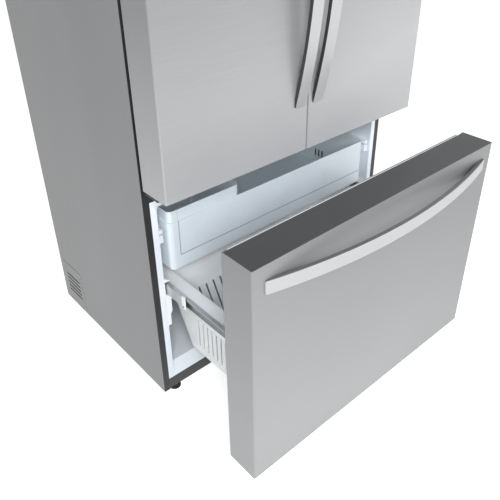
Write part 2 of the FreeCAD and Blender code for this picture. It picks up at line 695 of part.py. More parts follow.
def makeInsulation():
    """Foam that fills the space between the steel outside and the two liners."""
    body = newBody("insulation_block")
    section = rectangle("-caseWidth/2 + sheetThick", "sillTop", "caseWidth/2 - sheetThick",
                        "caseTop - sheetThick")
    extrude(body, "XZ_Plane", [section], "caseDepth - 2*sheetThick", start="-sheetThick", back=True)
    machine = [("machineFront - stepRun/3", "sillTop"), ("machineFront", "machineTop"),
               ("caseDepth", "machineTop"), ("caseDepth", "sillTop")]
    extrude(body, "YZ_Plane", [machine], "caseWidth", both=True, cut=True)
    bar = rectangle("0", "crossbarBottom", "crossbarDepth", "crossbarBottom + crossbarHeight")
    extrude(body, "YZ_Plane", [bar], "2*(" + flangeX + ")", both=True, cut=True)
    tools = []
    for label, core in (("freezerPlug", freezerCore), ("fridgePlug", fridgeCore)):
        plug = newBody(label)
        core(plug)
        tools.append(plug)
    rims = newBody("rimPlug")
    rim = rectangle("-" + flangeX, "sillTop", flangeX, "caseTop - flangeWidth")
    extrude(rims, "XZ_Plane", [rim], "linerThick", back=True)
    tools.append(rims)
    plugs = doc.addObject("Part::MultiFuse", "linerPlugs")
    plugs.Shapes = tools
    foam = doc.addObject("Part::Cut", "cabinet_insulation")
    foam.Base = body
    foam.Tool = plugs
    foam.Label = "cabinet_insulation"
    place(foam)


# ---------------------------------------------------------------- doors and drawer front
def panelSkin(label, left, right, low, high, slide="0"):
    """Steel wrapper of a door: front, both sides and the edges turned in behind."""
    body = newBody(label)
    back = "-gasketGap"
    section = [(left + " + returnWidth", back), (left, back), (left, frontY), (right, frontY),
               (right, back), (right + " - returnWidth", back),
               (right + " - returnWidth", back + " - sheetThick"),
               (right + " - sheetThick", back + " - sheetThick"),
               (right + " - sheetThick", frontY + " + sheetThick"),
               (left + " + sheetThick", frontY + " + sheetThick"),
               (left + " + sheetThick", back + " - sheetThick"),
               (left + " + returnWidth", back + " - sheetThick")]
    extrude(body, "XY_Plane", [section], "%s - %s" % (high, low), start=low)
    front = -size("gasketGap") - size("panelThick")
    sheet = size("sheetThick")
    upright = along("z")
    roundEdges(body, "skinRound", lambda middle, tangent: upright(middle, tangent)
               and abs(middle.y - front) < 1e-3)
    roundEdges(body, "skinRound - sheetThick", lambda middle, tangent: upright(middle, tangent)
               and abs(middle.y - front - sheet) < 1e-3 and edgeIsSharp(body, middle, sheet))
    place(body, slide)
    return body


def edgeIsSharp(body, middle, sheet):
    """True at the inner corners of a skin, where its side and front sheets meet."""
    box = body.Shape.BoundBox
    return min(abs(middle.x - box.XMin), abs(middle.x - box.XMax)) < 1.5 * sheet


def panelCap(label, left, right, low):
    """End cap between the front and side sheets, with its corners in those of the skin."""
    body = newBody(label)
    section = rectangle(left + " + sheetThick", frontY + " + sheetThick", right + " - sheetThick",
                        "-gasketGap - linerThick")
    extrude(body, "XY_Plane", [section], "capThick", start=low)
    front = -size("gasketGap") - size("panelThick") + size("sheetThick")
    roundEdges(body, "skinRound - sheetThick", lambda middle, tangent: along("z")(middle, tangent)
               and abs(middle.y - front) < 1e-3)
    return body


def panelGasket(label, left, right, low, high, slide="0"):
    """Magnetic seal that runs round the back of a door."""
    body = newBody(label)
    outside = rectangle(left, low + " + gasketEnd", right, high + " - gasketEnd")
    inside = rectangle(left + " + gasketWidth", low + " + gasketEnd + gasketWidth",
                       right + " - gasketWidth", high + " - gasketEnd - gasketWidth")
    extrude(body, "XZ_Plane", [outside, inside], "gasketGap - sealGap", start="sealGap")
    place(body, slide)
    return body


def panelBack(body, left, right, low, high):
    sheet = rectangle(left + " + returnWidth", low, right + " - returnWidth", high)
    extrude(body, "XZ_Plane", [sheet], "linerThick", start="gasketGap")


def bowHandle(body, role, start, length, face, lift, width, upright):
    """Bar bowed outwards between two flat ends on the face of a door. Its two faces are arcs about
    one centre, and it is as thick at the ends as in the middle."""
    sketch = newSketch(body, role, lift)
    halfChord = size("bowLength") / 2
    rise = size("bowRise") - size("bowEnd")
    outer = (halfChord ** 2 + rise ** 2) / (2 * rise)
    inner = outer - size("bowThick")
    faceAt = -size("gasketGap") - size("panelThick")
    startAt = size("doorBowBottom") if upright else -halfChord
    centre = faceAt - size("bowEnd") + outer - rise
    reach = math.sqrt(inner ** 2 - (centre - faceAt) ** 2)

    def spot(distance, depth):
        chord = startAt + halfChord + distance
        return Vector(depth, chord, 0) if upright else Vector(chord, depth, 0)

    ends = [spot(-halfChord, faceAt), spot(-halfChord, faceAt - size("bowEnd")),
            spot(halfChord, faceAt - size("bowEnd")), spot(halfChord, faceAt),
            spot(reach, faceAt), spot(-reach, faceAt)]
    sketch.addGeometry(Part.LineSegment(ends[0], ends[1]))
    sketch.addGeometry(Part.Arc(ends[1], spot(0, faceAt - size("bowRise")), ends[2]))
    sketch.addGeometry(Part.LineSegment(ends[2], ends[3]))
    sketch.addGeometry(Part.LineSegment(ends[3], ends[4]))
    sketch.addGeometry(Part.Arc(ends[4], spot(0, faceAt - size("bowRise") + size("bowThick")), ends[5]))
    sketch.addGeometry(Part.LineSegment(ends[5], ends[0]))

    def endNumber(geometry, point):
        """Which end of a curve lies at a point: an arc may be stored the other way round."""
        return 1 if (sketch.getPoint(geometry, 1) - point).Length < 1e-6 else 2

    for number in range(6):
        corner = ends[(number + 1) % 6]
        after = (number + 1) % 6
        sketch.addConstraint(Sketcher.Constraint("Coincident", number, endNumber(number, corner),
                                                 after, endNumber(after, corner)))
    across, level = ("DistanceY", "DistanceX") if upright else ("DistanceX", "DistanceY")
    corners = [(0, 0, across, start), (0, 0, level, face), (1, 1, across, start),
               (1, 1, level, face + " - bowEnd"), (2, 2, across, start + " + " + length),
               (2, 2, level, face + " - bowEnd"), (3, 3, across, start + " + " + length),
               (3, 3, level, face), (4, 4, level, face), (5, 5, level, face)]
    for geometry, corner, kind, text in corners:
        at = ends[corner]
        now = at.y if kind == "DistanceY" else at.x
        number = sketch.addConstraint(
            Sketcher.Constraint(kind, -1, 1, geometry, endNumber(geometry, at), now))
        bind(sketch, "Constraints[%d]" % number, text)
    sketch.addConstraint(Sketcher.Constraint("Coincident", 1, 3, 4, 3))
    radius = "((%s)^2/4 + (bowRise - bowEnd)^2)/(2*(bowRise - bowEnd))" % length
    for geometry, value, text in ((1, outer, radius), (4, inner, radius + " - bowThick")):
        number = sketch.addConstraint(Sketcher.Constraint("Radius", geometry, value))
        bind(sketch, "Constraints[%d]" % number, text)
    bar = body.newObject("PartDesign::Pad", "Bar")
    bar.Profile = sketch
    bind(bar, "Length", width)
    body.Tip = bar
    roundEdges(body, "bowCorner", lambda middle, tangent: along("y")(middle, tangent))
    doc.recompute()
    front = faceAt - size("bowEnd")
    roundEdges(body, "bowRound", lambda middle, tangent: middle.y < front - 1)


def openBox(body, low, high, corner):
    """Box open at the top with rounded corners inside and out, from its low and high corners."""
    section = rectangle(low[0], low[1], high[0], high[1])
    extrude(body, "XY_Plane", [section], "%s - (%s)" % (high[2], low[2]), start=low[2])
    doc.recompute()
    box = body.Tip.Shape.BoundBox
    floor = box.ZMin + size("binWall")
    hollowed = rectangle(low[0] + " + binWall", low[1] + " + binWall", high[0] + " - binWall",
                         high[1] + " - binWall")
    extrude(body, "XY_Plane", [hollowed], "%s - (%s)" % (high[2], low[2]), start=low[2] + " + binWall",
            cut=True)

    def outside(middle):
        return min(abs(middle.x - box.XMin), abs(middle.x - box.XMax),
                   abs(middle.y - box.YMin), abs(middle.y - box.YMax)) < 1e-3

    upright = along("z")
    roundEdges(body, corner + " - binWall", lambda middle, tangent: upright(middle, tangent)
               and not outside(middle))
    roundEdges(body, corner, lambda middle, tangent: upright(middle, tangent) and outside(middle))
    roundEdges(body, corner + "/2 - binWall", lambda middle, tangent: abs(middle.z - floor) < 1e-3)
    roundEdges(body, corner + "/2", lambda middle, tangent: abs(middle.z - box.ZMin) < 1e-3)


# ---------------------------------------------------------------- the two doors
doorLeft = "(-caseWidth/2)"
doorRight = "(-panelGap/2)"


def makeDoor():
    """Left door, and the right door as its mirror image."""
    skin = panelSkin("left_door_skin", doorLeft, doorRight, "doorBottom", "doorTop")
    caps = []
    for name, low in (("left_door_bottom_cap", "doorBottom"), ("left_door_top_cap", "doorTop - capThick")):
        cap = panelCap(name, doorLeft, doorRight, low)
        extrude(cap, "XY_Plane", [(pinX, pinY, "pinRadius + turnGap")], "2*capThick",
                         start=low + " - capThick/2", cut=True)
        caps.append(cap)
    bothCaps = group("left_door_caps", caps)
    place(bothCaps)
    gasket = panelGasket("left_door_gasket", doorLeft + " + gasketInset", doorRight + " - gasketEnd",
                         "doorBottom", "doorTop")
    liner = newBody("left_door_liner")
    panelBack(liner, doorLeft, doorRight, "doorBottom", "doorTop")
    outside = rectangle("-" + wallX + " + dykeSide", fridgeBottom + " + dykeEnd", "-dykeCentre",
                        fridgeTop + " - dykeEnd")
    inside = rectangle("-" + wallX + " + dykeSide + dykeWidth", fridgeBottom + " + dykeEnd + dykeWidth",
                       "-dykeCentre - dykeWidth", fridgeTop + " - dykeEnd - dykeWidth")
    extrude(liner, "XZ_Plane", [outside, inside], "dykeDepth + gasketGap", start="-dykeDepth")
    reach = size("dykeDepth")
    roundEdges(liner, "dykeWidth/4", lambda middle, tangent: abs(middle.y - reach) < 1e-3)
    for level in (fridgeBottom + " + flapEnd", fridgeTop + " - flapEnd - flapArm"):
        arm = rectangle("-flapPivotSide - flapThick/2", level, "-flapPivotSide + flapPin + 1",
                        level + " + flapArm")
        extrude(liner, "XZ_Plane", [arm], "gasketGap + flapGap + flapThick", start="-flapGap - flapThick")
    pivot = ("-flapPivotSide", "flapGap + flapThick/2", "flapPin")
    for level in (fridgeBottom + " + flapEnd + flapArm", fridgeTop + " - flapEnd - 2*flapArm"):
        extrude(liner, "XY_Plane", [pivot], "flapArm", start=level)
    place(liner)
    handle = newBody("left_door_handle")
    bowHandle(handle, "YZ_Plane", "doorBowBottom", "bowLength", frontY,
              "-doorBowInset - doorBowWidth", "doorBowWidth", True)
    place(handle)
    bins = []
    for number in range(int(size("binCount"))):
        shelf = newBody("left_door_bin_%d" % number)
        level = "binFirst + %d*binPitch" % number
        openBox(shelf, ("-" + wallX + " + dykeSide + dykeWidth + slideGap", "-gasketGap + slideGap", level),
                ("-dykeCentre - dykeWidth - slideGap", "-gasketGap + slideGap + binDepth",
                 level + " + binHeight"), "4*binWall")
        bins.append(shelf)
    allBins = group("left_door_bins", bins)
    place(allBins)
    for piece in (skin, bothCaps, gasket, liner, handle, allBins):
        placeTwin(piece)
    flap = newBody("mullion_flap")
    low = fridgeBottom + " + flapEnd + flapArm + slideGap"
    tall = "(%s) - (%s) - 2*flapEnd - 2*flapArm - 2*slideGap" % (fridgeTop, fridgeBottom)
    blade = rectangle("-flapPivotSide - flapThick/2", "flapGap + flapThick/2",
                      "-flapPivotSide + flapThick/2", "flapGap + flapThick/2 + flapReach")
    extrude(flap, "XY_Plane", [blade], tall, start=low)
    extrude(flap, "XY_Plane", [("-flapPivotSide", "flapGap + flapThick/2", "flapThick/2")], tall, start=low)
    extrude(flap, "XY_Plane", [("-flapPivotSide", "flapGap + flapThick/2", "flapPin + turnGap")],
                   tall, start=low, cut=True)
    far = size("flapGap") + size("flapThick") / 2 + size("flapReach")
    roundEdges(flap, "flapThick/4", lambda middle, tangent: along("z")(middle, tangent)
               and abs(middle.y - far) < 1e-3)
    place(flap)


def makeHinges():
    top = newBody("topHinge")
    outer = "(-caseWidth/2 + hingeInset)"
    plate = rectangle(outer, pinY + " - pinRadius - hingePlate", outer + " + hingeWidth", "topHingeBack")
    extrude(top, "XY_Plane", [plate], "hingePlate", start="caseTop")
    extrude(top, "XY_Plane", [(pinX, pinY, "pinRadius")], "caseTop - doorTop + pinReach",
            start="doorTop - pinReach")
    roundEdges(top, "2*hingePlate", lambda middle, tangent: along("z")(middle, tangent)
               and middle.z > size("caseTop"))
    pair("top_hinges", top)
    cover = newBody("hingeCover")
    side = "-caseWidth/2 + 2*sheetThick"
    shell = rectangle(side, "-coverFront", side + " + coverWidth", "coverBack")
    extrude(cover, "XY_Plane", [shell], "coverHeight", start="caseTop")
    roundEdges(cover, "4*coverWall", lambda middle, tangent: middle.z > size("caseTop") + 1)
    bottom = size("caseTop")
    hollow(cover, "coverWall", lambda centre, normal: abs(centre.z - bottom) < 1e-3)
    pair("hinge_covers", cover)
    centre = newBody("centreHinge")
    plate = rectangle(outer, pinY + " - pinRadius - hingePlate", outer + " + hingeWidth", "0")
    extrude(centre, "XY_Plane", [plate], "hingePlate", start="centreHingeLevel")
    leg = rectangle(outer, "drawerTop - hingePlate", outer + " + hingeWidth",
                    "centreHingeLevel + hingePlate")
    extrude(centre, "XZ_Plane", [leg], "0.75*hingePlate")
    extrude(centre, "XY_Plane", [(pinX, pinY, "pinRadius")],
            "doorBottom + pinReach - centreHingeLevel - hingePlate/2",
            start="centreHingeLevel + hingePlate/2")
    pair("centre_hinges", centre)


# ---------------------------------------------------------------- freezer drawer
def makeDrawerFront():
    left = "(-caseWidth/2)"
    right = "(caseWidth/2)"
    panelSkin("drawer_skin", left, right, "drawerBottom", "drawerTop", "drawerOpen")
    caps = [panelCap("drawer_bottom_cap", left, right, "drawerBottom"),
            panelCap("drawer_top_cap", left, right, "drawerTop - capThick")]
    place(group("drawer_caps", caps), "drawerOpen")
    panelGasket("drawer_gasket", left + " + gasketInset", right + " - gasketInset", "drawerBottom",
                "drawerTop", "drawerOpen")
    liner = newBody("drawer_liner")
    panelBack(liner, left, right, "drawerBottom", "drawerTop")
    place(liner, "drawerOpen")
    handle = newBody("drawer_handle")
    bowHandle(handle, "XY_Plane", "-bowLength/2", "bowLength", frontY, "drawerBowBottom",
              "drawerBowHeight", False)
    place(handle, "drawerOpen")


# ---------------------------------------------------------------- drawer slides
def channel(body, web, height, depth, front, back):
    """Rolled channel of a slide, from its outer web face towards the middle of the cabinet."""
    low = "slideLevel - %s/2" % height
    high = "slideLevel + %s/2" % height
    sign = "-" if depth.startswith("-") else "+"
    section = [(web, low), (web + " + " + depth, low), (web + " + " + depth, low + " + slideSheet"),
               (web + sign + " slideSheet", low + " + slideSheet"),
               (web + sign + " slideSheet", high + " - slideSheet"),
               (web + " + " + depth, high + " - slideSheet"), (web + " + " + depth, high), (web, high)]
    extrude(body, "XZ_Plane", [section], "%s - (%s)" % (back, front), start="-" + back)


def bearings(body, web, height, back):
    """Bearing strips above and below the rear of a moving member."""
    strips = []
    for side, edge in (("-", "slideLevel - %s/2" % height), ("+", "slideLevel + %s/2" % height)):
        far = edge + side + " (fixedHeight - middleHeight)/2 " + ("+" if side == "-" else "-")
        far += " slideSheet " + ("+" if side == "-" else "-") + " slideGap"
        near = edge + ("+" if side == "-" else "-") + " slideSheet/2"
        strips.append(rectangle(web, near, web + " + bearingWidth", far))
    extrude(body, "XZ_Plane", strips, "bearingLength", start="-" + back)


fixedWeb = "(-caseWidth/2 + sideWall + housingWall)"
middleWeb = "(-caseWidth/2 + sideWall + housingWall + slideSheet + memberStep)"
drawerWeb = "(-caseWidth/2 + housingFace + drawerStep)"


def makeSlides():
    housing = newBody("slideHousing")
    slot = "fixedHeight/2"
    section = [("-" + wallX, "housingBottom"), ("-" + wallX + " + housingSlim", "housingBottom"),
               ("-" + wallX + " + housingSlim", "housingStep"), (housingX, "housingStep + housingSlope"),
               (housingX, "slideLevel - " + slot), (fixedWeb, "slideLevel - " + slot),
               (fixedWeb, "slideLevel + " + slot), (housingX, "slideLevel + " + slot),
               (housingX, "housingTop - housingSlope"), ("-" + wallX, "housingTop")]
    extrude(housing, "XZ_Plane", [section], "housingBack - housingFront", start="-housingBack")
    pair("slide_housings", housing)
    fixed = newBody("fixedRail")
    channel(fixed, fixedWeb, "fixedHeight", "fixedDepth", "fixedFront", "fixedBack")
    pair("fixed_rails", fixed)
    middle = newBody("middle_rail_left")
    channel(middle, middleWeb, "middleHeight", "middleDepth", "middleFront", "middleBack")
    bearings(middle, middleWeb, "middleHeight", "middleBack")
    place(middle, "drawerOpen/2")
    placeTwin(middle)
    rail = newBody("drawerRail")
    channel(rail, drawerWeb, "innerHeight", "-innerDepth", "-gasketGap", "innerBack")
    bearings(rail, drawerWeb + " - innerDepth", "innerHeight", "innerBack")
    support = [(drawerWeb, "supportLow"), (drawerWeb, "supportTop"),
               (drawerWeb + " + supportLedge", "supportTop"),
               (drawerWeb + " + supportLedge", "supportTop - slideSheet"),
               (drawerWeb + " + slideSheet", "supportTop - slideSheet"),
               (drawerWeb + " + slideSheet", "supportLow")]
    extrude(rail, "XZ_Plane", [support], "innerBack + gasketGap", start="-innerBack")
    bracket = rectangle(drawerWeb + " + slideSheet - bracketWidth/2", "slideLevel - bracketHeight/2",
                        drawerWeb + " + slideSheet + bracketWidth/2", "slideLevel + bracketHeight/2")
    extrude(rail, "XZ_Plane", [bracket], "slideSheet", start="gasketGap - slideSheet")
    extrude(rail, "YZ_Plane", [("gearBack", "pinionLevel", "barRadius + turnGap")], "4*slideSheet",
            start=drawerWeb + " - 2*slideSheet", cut=True)
    pair("drawer_rails", rail, "drawerOpen")


# ---------------------------------------------------------------- gears that keep the slides in step
toothPitch = "(pi*gearModule)"
pitchRadius = "(gearModule*gearTeeth/2)"
toothHalf = "(pi*gearModule/4 - gearThin)"


def makeRacks():
    rack = newBody("gearRack")
    line = "(pinionLevel - %s)" % pitchRadius
    shown = "(gearBack - drawerOpen)"
    root = line + " - 1.25*gearModule"
    front = shown + " - (rackLead + 1)*" + toothPitch
    bar = rectangle(front, root + " - rackBase", front + " + (rackTeeth + 1)*" + toothPitch, root)
    extrude(rack, "YZ_Plane", [bar], "rackWidth", start=housingX)
    middle = shown + " - (rackLead - 0.5)*" + toothPitch
    slope = "tan(20)*gearModule"
    wide = toothHalf + " + 1.25*" + slope
    narrow = toothHalf + " - " + slope
    tooth = [(middle + " - (%s)" % wide, root), (middle + " + (%s)" % wide, root),
             (middle + " + (%s)" % narrow, line + " + gearModule"),
             (middle + " - (%s)" % narrow, line + " + gearModule")]
    first = extrude(rack, "YZ_Plane", [tooth], "rackWidth", start=housingX)
    repeat(rack, first, "Y_Axis", toothPitch, "rackTeeth")
    pair("gear_racks", rack)


def aroundX(body, feature, count):
    ring = body.newObject("PartDesign::PolarPattern", "Ring")
    ring.Originals = [feature]
    ring.Axis = (originPlane(body, "X_Axis"), [""])
    ring.Angle = 360
    bind(ring, "Occurrences", count)
    body.Tip = ring
    return ring


def makeSyncBar():
    """Cross bar with a pinion at each end, drawn about its own axis."""
    body = newBody("sync_bar")
    end = "(caseWidth/2 - housingFace - memberStep + slideSheet/2)"
    extrude(body, "YZ_Plane", [("0", "0", "barRadius")], "2*" + end, both=True)
    outer = "(caseWidth/2 - housingFace - drawerStep - slideSheet - sideGap)"
    root = pitchRadius + " - 1.25*gearModule"
    narrow = toothHalf + " - 0.3*gearModule"
    wide = toothHalf + " + 0.25*gearModule"
    tooth = [("-(%s)" % wide, "-(%s) + 0.3" % root), ("-(%s)" % narrow, "-%s - gearModule" % pitchRadius),
             (narrow, "-%s - gearModule" % pitchRadius), (wide, "-(%s) + 0.3" % root)]
    for start in ("-" + outer, outer + " - gearWidth"):
        extrude(body, "YZ_Plane", [("0", "0", root)], "gearWidth", start=start)
        first = extrude(body, "YZ_Plane", [tooth], "gearWidth", start=start)
        aroundX(body, first, "gearTeeth")
    place(body, "drawerOpen", ("0", "gearBack", "pinionLevel"))


# ---------------------------------------------------------------- freezer basket and tray
def basketCore(body, inset, top):
    """Solid shape of the basket, drawn in by inset."""
    lean = "(%s - basketBottom)*tan(basketLean)" % top
    shift = "(%s)/cos(basketLean)" % inset
    section = [("-basketFront + " + inset, "basketBottom + " + inset),
               ("basketRear + (%s)*tan(basketLean) - %s" % (inset, shift), "basketBottom + " + inset),
               ("basketRear + %s - %s" % (lean, shift), top), ("-basketFront + " + inset, top)]
    extrude(body, "YZ_Plane", [section], "2*(basketHalf - %s)" % inset, both=True)
    doc.recompute()
    high = body.Tip.Shape.BoundBox.ZMax
    level = body.Tip.Shape.BoundBox.ZMin
    roundEdges(body, "basketRound - " + inset, lambda middle, tangent: middle.z < high - 1
               and (abs(tangent.x) < 0.5 or middle.z < level + 1))


def makeBasket():
    outside = newBody("basketOutside")
    basketCore(outside, "0", "basketRim")
    mouth = "basketRear + (basketRim - basketBottom)*tan(basketLean)"
    rim = rectangle("-rimReach", "-basketFront - rimThick", "rimReach", mouth + " + rimRear")
    extrude(outside, "XY_Plane", [rim], "rimThick", start="basketRim - rimThick")
    slot = rectangle("basketFront + slotWidth", "sideSlotLow", "basketFront + 2*slotWidth", "sideSlotHigh")
    sides = extrude(outside, "YZ_Plane", [slot], "3*basketHalf", both=True, cut=True)
    repeat(outside, sides, "Y_Axis", "sideSlotPitch", "sideSlotCount")
    first = "-(rearSlotCount - 1)*rearSlotPitch/2"
    slot = rectangle(first + " - slotWidth/2", "rearSlotLow", first + " + slotWidth/2", "rearSlotHigh")
    rear = extrude(outside, "XZ_Plane", [slot], "basketRear", start="-2*basketRear", cut=True)
    repeat(outside, rear, "X_Axis", "rearSlotPitch", "rearSlotCount")
    inside = newBody("basketInside")
    basketCore(inside, "binWall", "basketRim + rimThick")
    basket = doc.addObject("Part::Cut", "freezer_basket")
    basket.Base = outside
    basket.Tool = inside
    basket.Label = "freezer_basket"
    place(basket, "drawerOpen")


def makeTray():
    tray = newBody("freezer_tray")
    openBox(tray, ("-trayHalf", "trayFront", "trayBottom"), ("trayHalf", "trayBack", "trayTop"),
            "trayRound")
    runner = rectangle("-(%s) + runnerSide" % wallX, "ledgeTop + runnerGap", "-trayHalf + binWall/2",
                       "ledgeTop + runnerGap + runnerThick")
    runners = extrude(tray, "XZ_Plane", [runner], "trayBack - trayFront - 4*trayRound",
                      start="-trayBack + trayRound")
    mirrorAcross(tray, [runners])
    groove = [("-trayPanel - grooveDepth", "trayGroove - grooveDepth"),
              ("2*trayHalf", "trayGroove - grooveDepth"), ("2*trayHalf", "trayGroove + grooveDepth"),
              ("-trayPanel + grooveDepth", "trayGroove + grooveDepth"),
              ("-trayPanel + grooveDepth", "2*trayTop"), ("-trayPanel - grooveDepth", "2*trayTop")]
    extrude(tray, "XZ_Plane", [groove], "2*grooveDepth", start="-trayFront - grooveDepth", cut=True)
    place(tray)
    loose = newBody("tray_bin")
    openBox(loose, ("-trayHalf + binWall + slideGap", "trayFront + binWall + slideGap",
                    "trayBottom + binWall + slideGap"), ("-looseBinRight", "looseBinBack", "looseBinTop"),
            "trayRound")
    place(loose)


# ---------------------------------------------------------------- coils, fans and compressor
def returnBend(body, x, y, z, pitch, back):
    """Half ring of tube that joins two passes of a coil."""
    sketch = newSketch(body, "YZ_Plane", x)
    drawCircle(sketch, y, z, "coilTube")
    line = sketch.addGeometry(Part.LineSegment(Vector(0, 50, 0), Vector(100, 50, 0)), True)
    sketch.addConstraint(Sketcher.Constraint("Horizontal", line))
    sketch.addConstraint(Sketcher.Constraint("DistanceX", -1, 1, line, 1, 0.0))
    sketch.addConstraint(Sketcher.Constraint("DistanceX", line, 1, line, 2, 100.0))
    number = sketch.addConstraint(Sketcher.Constraint("DistanceY", -1, 1, line, 1, 50.0))
    bind(sketch, "Constraints[%d]" % number, "%s + %s/2" % (z, pitch))
    bend = body.newObject("PartDesign::Revolution", "Bend")
    bend.Profile = sketch
    bend.ReferenceAxis = (sketch, ["Axis0"])
    bend.Angle = 180
    bend.Reversed = back
    body.Tip = bend
    return bend


def coil(body, middle, reach, back, low, pitch, fins, depth, foot):
    """Tube in passes through a stack of fins, held by an end plate at each end."""
    first = low + " + " + pitch + "/2"
    left = "%s - %s" % (middle, reach)
    right = "%s + %s" % (middle, reach)
    tube = extrude(body, "YZ_Plane", [(back, first, "coilTube")], "2*" + reach, start=left)
    repeat(body, tube, "Z_Axis", pitch, "coilTubes")
    bend = returnBend(body, right, back, first, pitch, True)
    repeat(body, bend, "Z_Axis", "2*" + pitch, "coilTubes/2")
    bend = returnBend(body, left, back, first + " + " + pitch, pitch, False)
    repeat(body, bend, "Z_Axis", "2*" + pitch, "coilTubes/2 - 1")
    top = low + " + coilTubes*" + pitch
    fin = rectangle("%s - %s/2" % (back, depth), low, "%s + %s/2" % (back, depth), top)
    first = extrude(body, "YZ_Plane", [fin], "finThick", start=left + " + finInset")
    repeat(body, first, "X_Axis", "(2*%s - 2*finInset - finThick)/(%s - 1)" % (reach, fins), fins)
    end = rectangle("%s - %s/2" % (back, depth), foot, "%s + %s/2" % (back, depth), top)
    for start in (left, right + " - endPlate"):
        extrude(body, "YZ_Plane", [end], "endPlate", start=start)


def fan(label):
    """Axial fan about its own x axis, running on the shaft of its motor."""
    body = newBody(label)
    extrude(body, "YZ_Plane", [("0", "0", "fanHub")], "fanDepth")
    sections = []
    for level, chord, angle in (("0.85*fanHub", "bladeRoot", "bladePitch"),
                                ("fanRadius", "bladeEnd", "bladeTip")):
        sketch = newSketch(body, "XY_Plane", level)
        corners = []
        for across, through in ((-1, -1), (1, -1), (1, 1), (-1, 1)):
            corners.append(("fanDepth/2 + %d*%s/2*sin(%s) + %d*bladeThick/2*cos(%s)"
                            % (across, chord, angle, through, angle),
                            "%d*%s/2*cos(%s) - %d*bladeThick/2*sin(%s)"
                            % (across, chord, angle, through, angle)))
        drawOutline(sketch, corners)
        sections.append(sketch)
    blade = body.newObject("PartDesign::AdditiveLoft", "Blade")
    blade.Profile = sections[0]
    blade.Sections = [sections[1]]
    blade.Ruled = True
    body.Tip = blade
    aroundX(body, blade, "fanBlades")
    extrude(body, "YZ_Plane", [("0", "0", "shaftRadius + turnGap")], "3*fanDepth", start="-fanDepth",
            cut=True)
    return body


def fanMotor(label):
    """Motor behind a fan, with the shaft that the fan runs on."""
    body = newBody(label)
    extrude(body, "YZ_Plane", [("0", "0", "motorRadius")], "motorLength", start="fanDepth + sideGap")
    extrude(body, "YZ_Plane", [("0", "0", "shaftRadius")], "shaftReach + sideGap",
            start="fanDepth - shaftReach")
    return body


def makeAirSystem():
    cover = newBody("evaporator_cover")
    plate = rectangle("-coverHalf", "stepTop", "coverHalf", freezerTop)
    extrude(cover, "XZ_Plane", [plate], "coverThick", start="-coverFace - coverThick")
    slot = rectangle("-fanRadius", "fanLevel - 0.9*fanRadius", "fanRadius", "fanLevel - 0.8*fanRadius")
    grille = extrude(cover, "XZ_Plane", [slot], "3*coverThick", start="-coverFace - 2*coverThick", cut=True)
    repeat(cover, grille, "Z_Axis", "1.7*fanRadius/(grilleCount - 1)", "grilleCount")
    slot = rectangle("-coverHalf + 4*coverThick", "stepTop + 4*coverThick", "-coverHalf + 8*coverThick",
                     "stepTop + 12*coverThick")
    inlet = extrude(cover, "XZ_Plane", [slot], "3*coverThick", start="-coverFace - 2*coverThick", cut=True)
    repeat(cover, inlet, "X_Axis", "2*(coverHalf - 6*coverThick)/(inletCount - 1)", "inletCount")
    place(cover)
    evaporator = newBody("evaporator")
    coil(evaporator, "0", "coilHalf", "coilBack", "coilBottom", "coilPitch", "finCount",
         "finDepth", "stepTop")
    place(evaporator)
    turnBack = Rotation(Vector(0, 0, 1), -90)
    freezerFanBack = "coverFace + coverThick + motorLength + sideGap + fanDepth"
    blower = fan("evaporator_fan")
    blower.Placement.Rotation = turnBack
    place(blower, at=("0", freezerFanBack, "fanLevel"))
    blowerMotor = fanMotor("blowerMotor")
    blowerMotor.Placement.Rotation = turnBack
    moveTo(blowerMotor, "0", freezerFanBack, "fanLevel")
    cooler = fan("condenser_fan")
    place(cooler, at=("-coolerSide", "condenserBack", "coolerLevel"))
    coolerMotor = fanMotor("coolerMotor")
    stand = rectangle("-motorRadius", "sillTop - coolerLevel", "motorRadius", "0")
    extrude(coolerMotor, "YZ_Plane", [stand], "coverThick", start="fanDepth + sideGap + motorLength/2")
    moveTo(coolerMotor, "-coolerSide", "condenserBack", "coolerLevel")
    place(group("fan_motors", [blowerMotor, coolerMotor]))
    condenser = newBody("condenser_coil")
    coil(condenser, "-condenserSide", "condenserHalf", "condenserBack", "condenserBottom",
         "condenserPitch", "condenserFins", "condenserDepth", "sillTop")
    place(condenser)
    pan = newBody("drain_pan")
    openBox(pan, ("panSide - panHalf", "condenserBack - panDepth/2", "sillTop"),
            ("panSide + panHalf", "condenserBack + panDepth/2", "sillTop + panHeight"), "4*binWall")
    place(pan)


def makeCompressor():
    pump = newBody("compressor")
    extrude(pump, "XY_Plane", [("0", "0", "pumpRadius")], "pumpHeight", start="pumpLift")
    doc.recompute()
    top = size("pumpLift") + size("pumpHeight")
    roundEdges(pump, "0.6*pumpRadius", lambda middle, tangent: abs(middle.z - top) < 1e-3)
    extrude(pump, "XY_Plane", [("0", "0", "pumpRadius + coverThick")], "coverThick",
            start="pumpLift + pumpHeight/2")
    foot = rectangle("-1.1*pumpRadius", "-pumpRadius", "1.1*pumpRadius", "pumpRadius")
    extrude(pump, "XY_Plane", [foot], "coverThick", start="pumpLift - coverThick")
    for x in ("-0.9*pumpRadius", "0.9*pumpRadius"):
        for y in ("-0.8*pumpRadius", "0.8*pumpRadius"):
            extrude(pump, "XY_Plane", [(x, y, "grommetRadius")], "pumpLift")
    place(pump, at=("pumpSide", "pumpBack", "sillTop"))


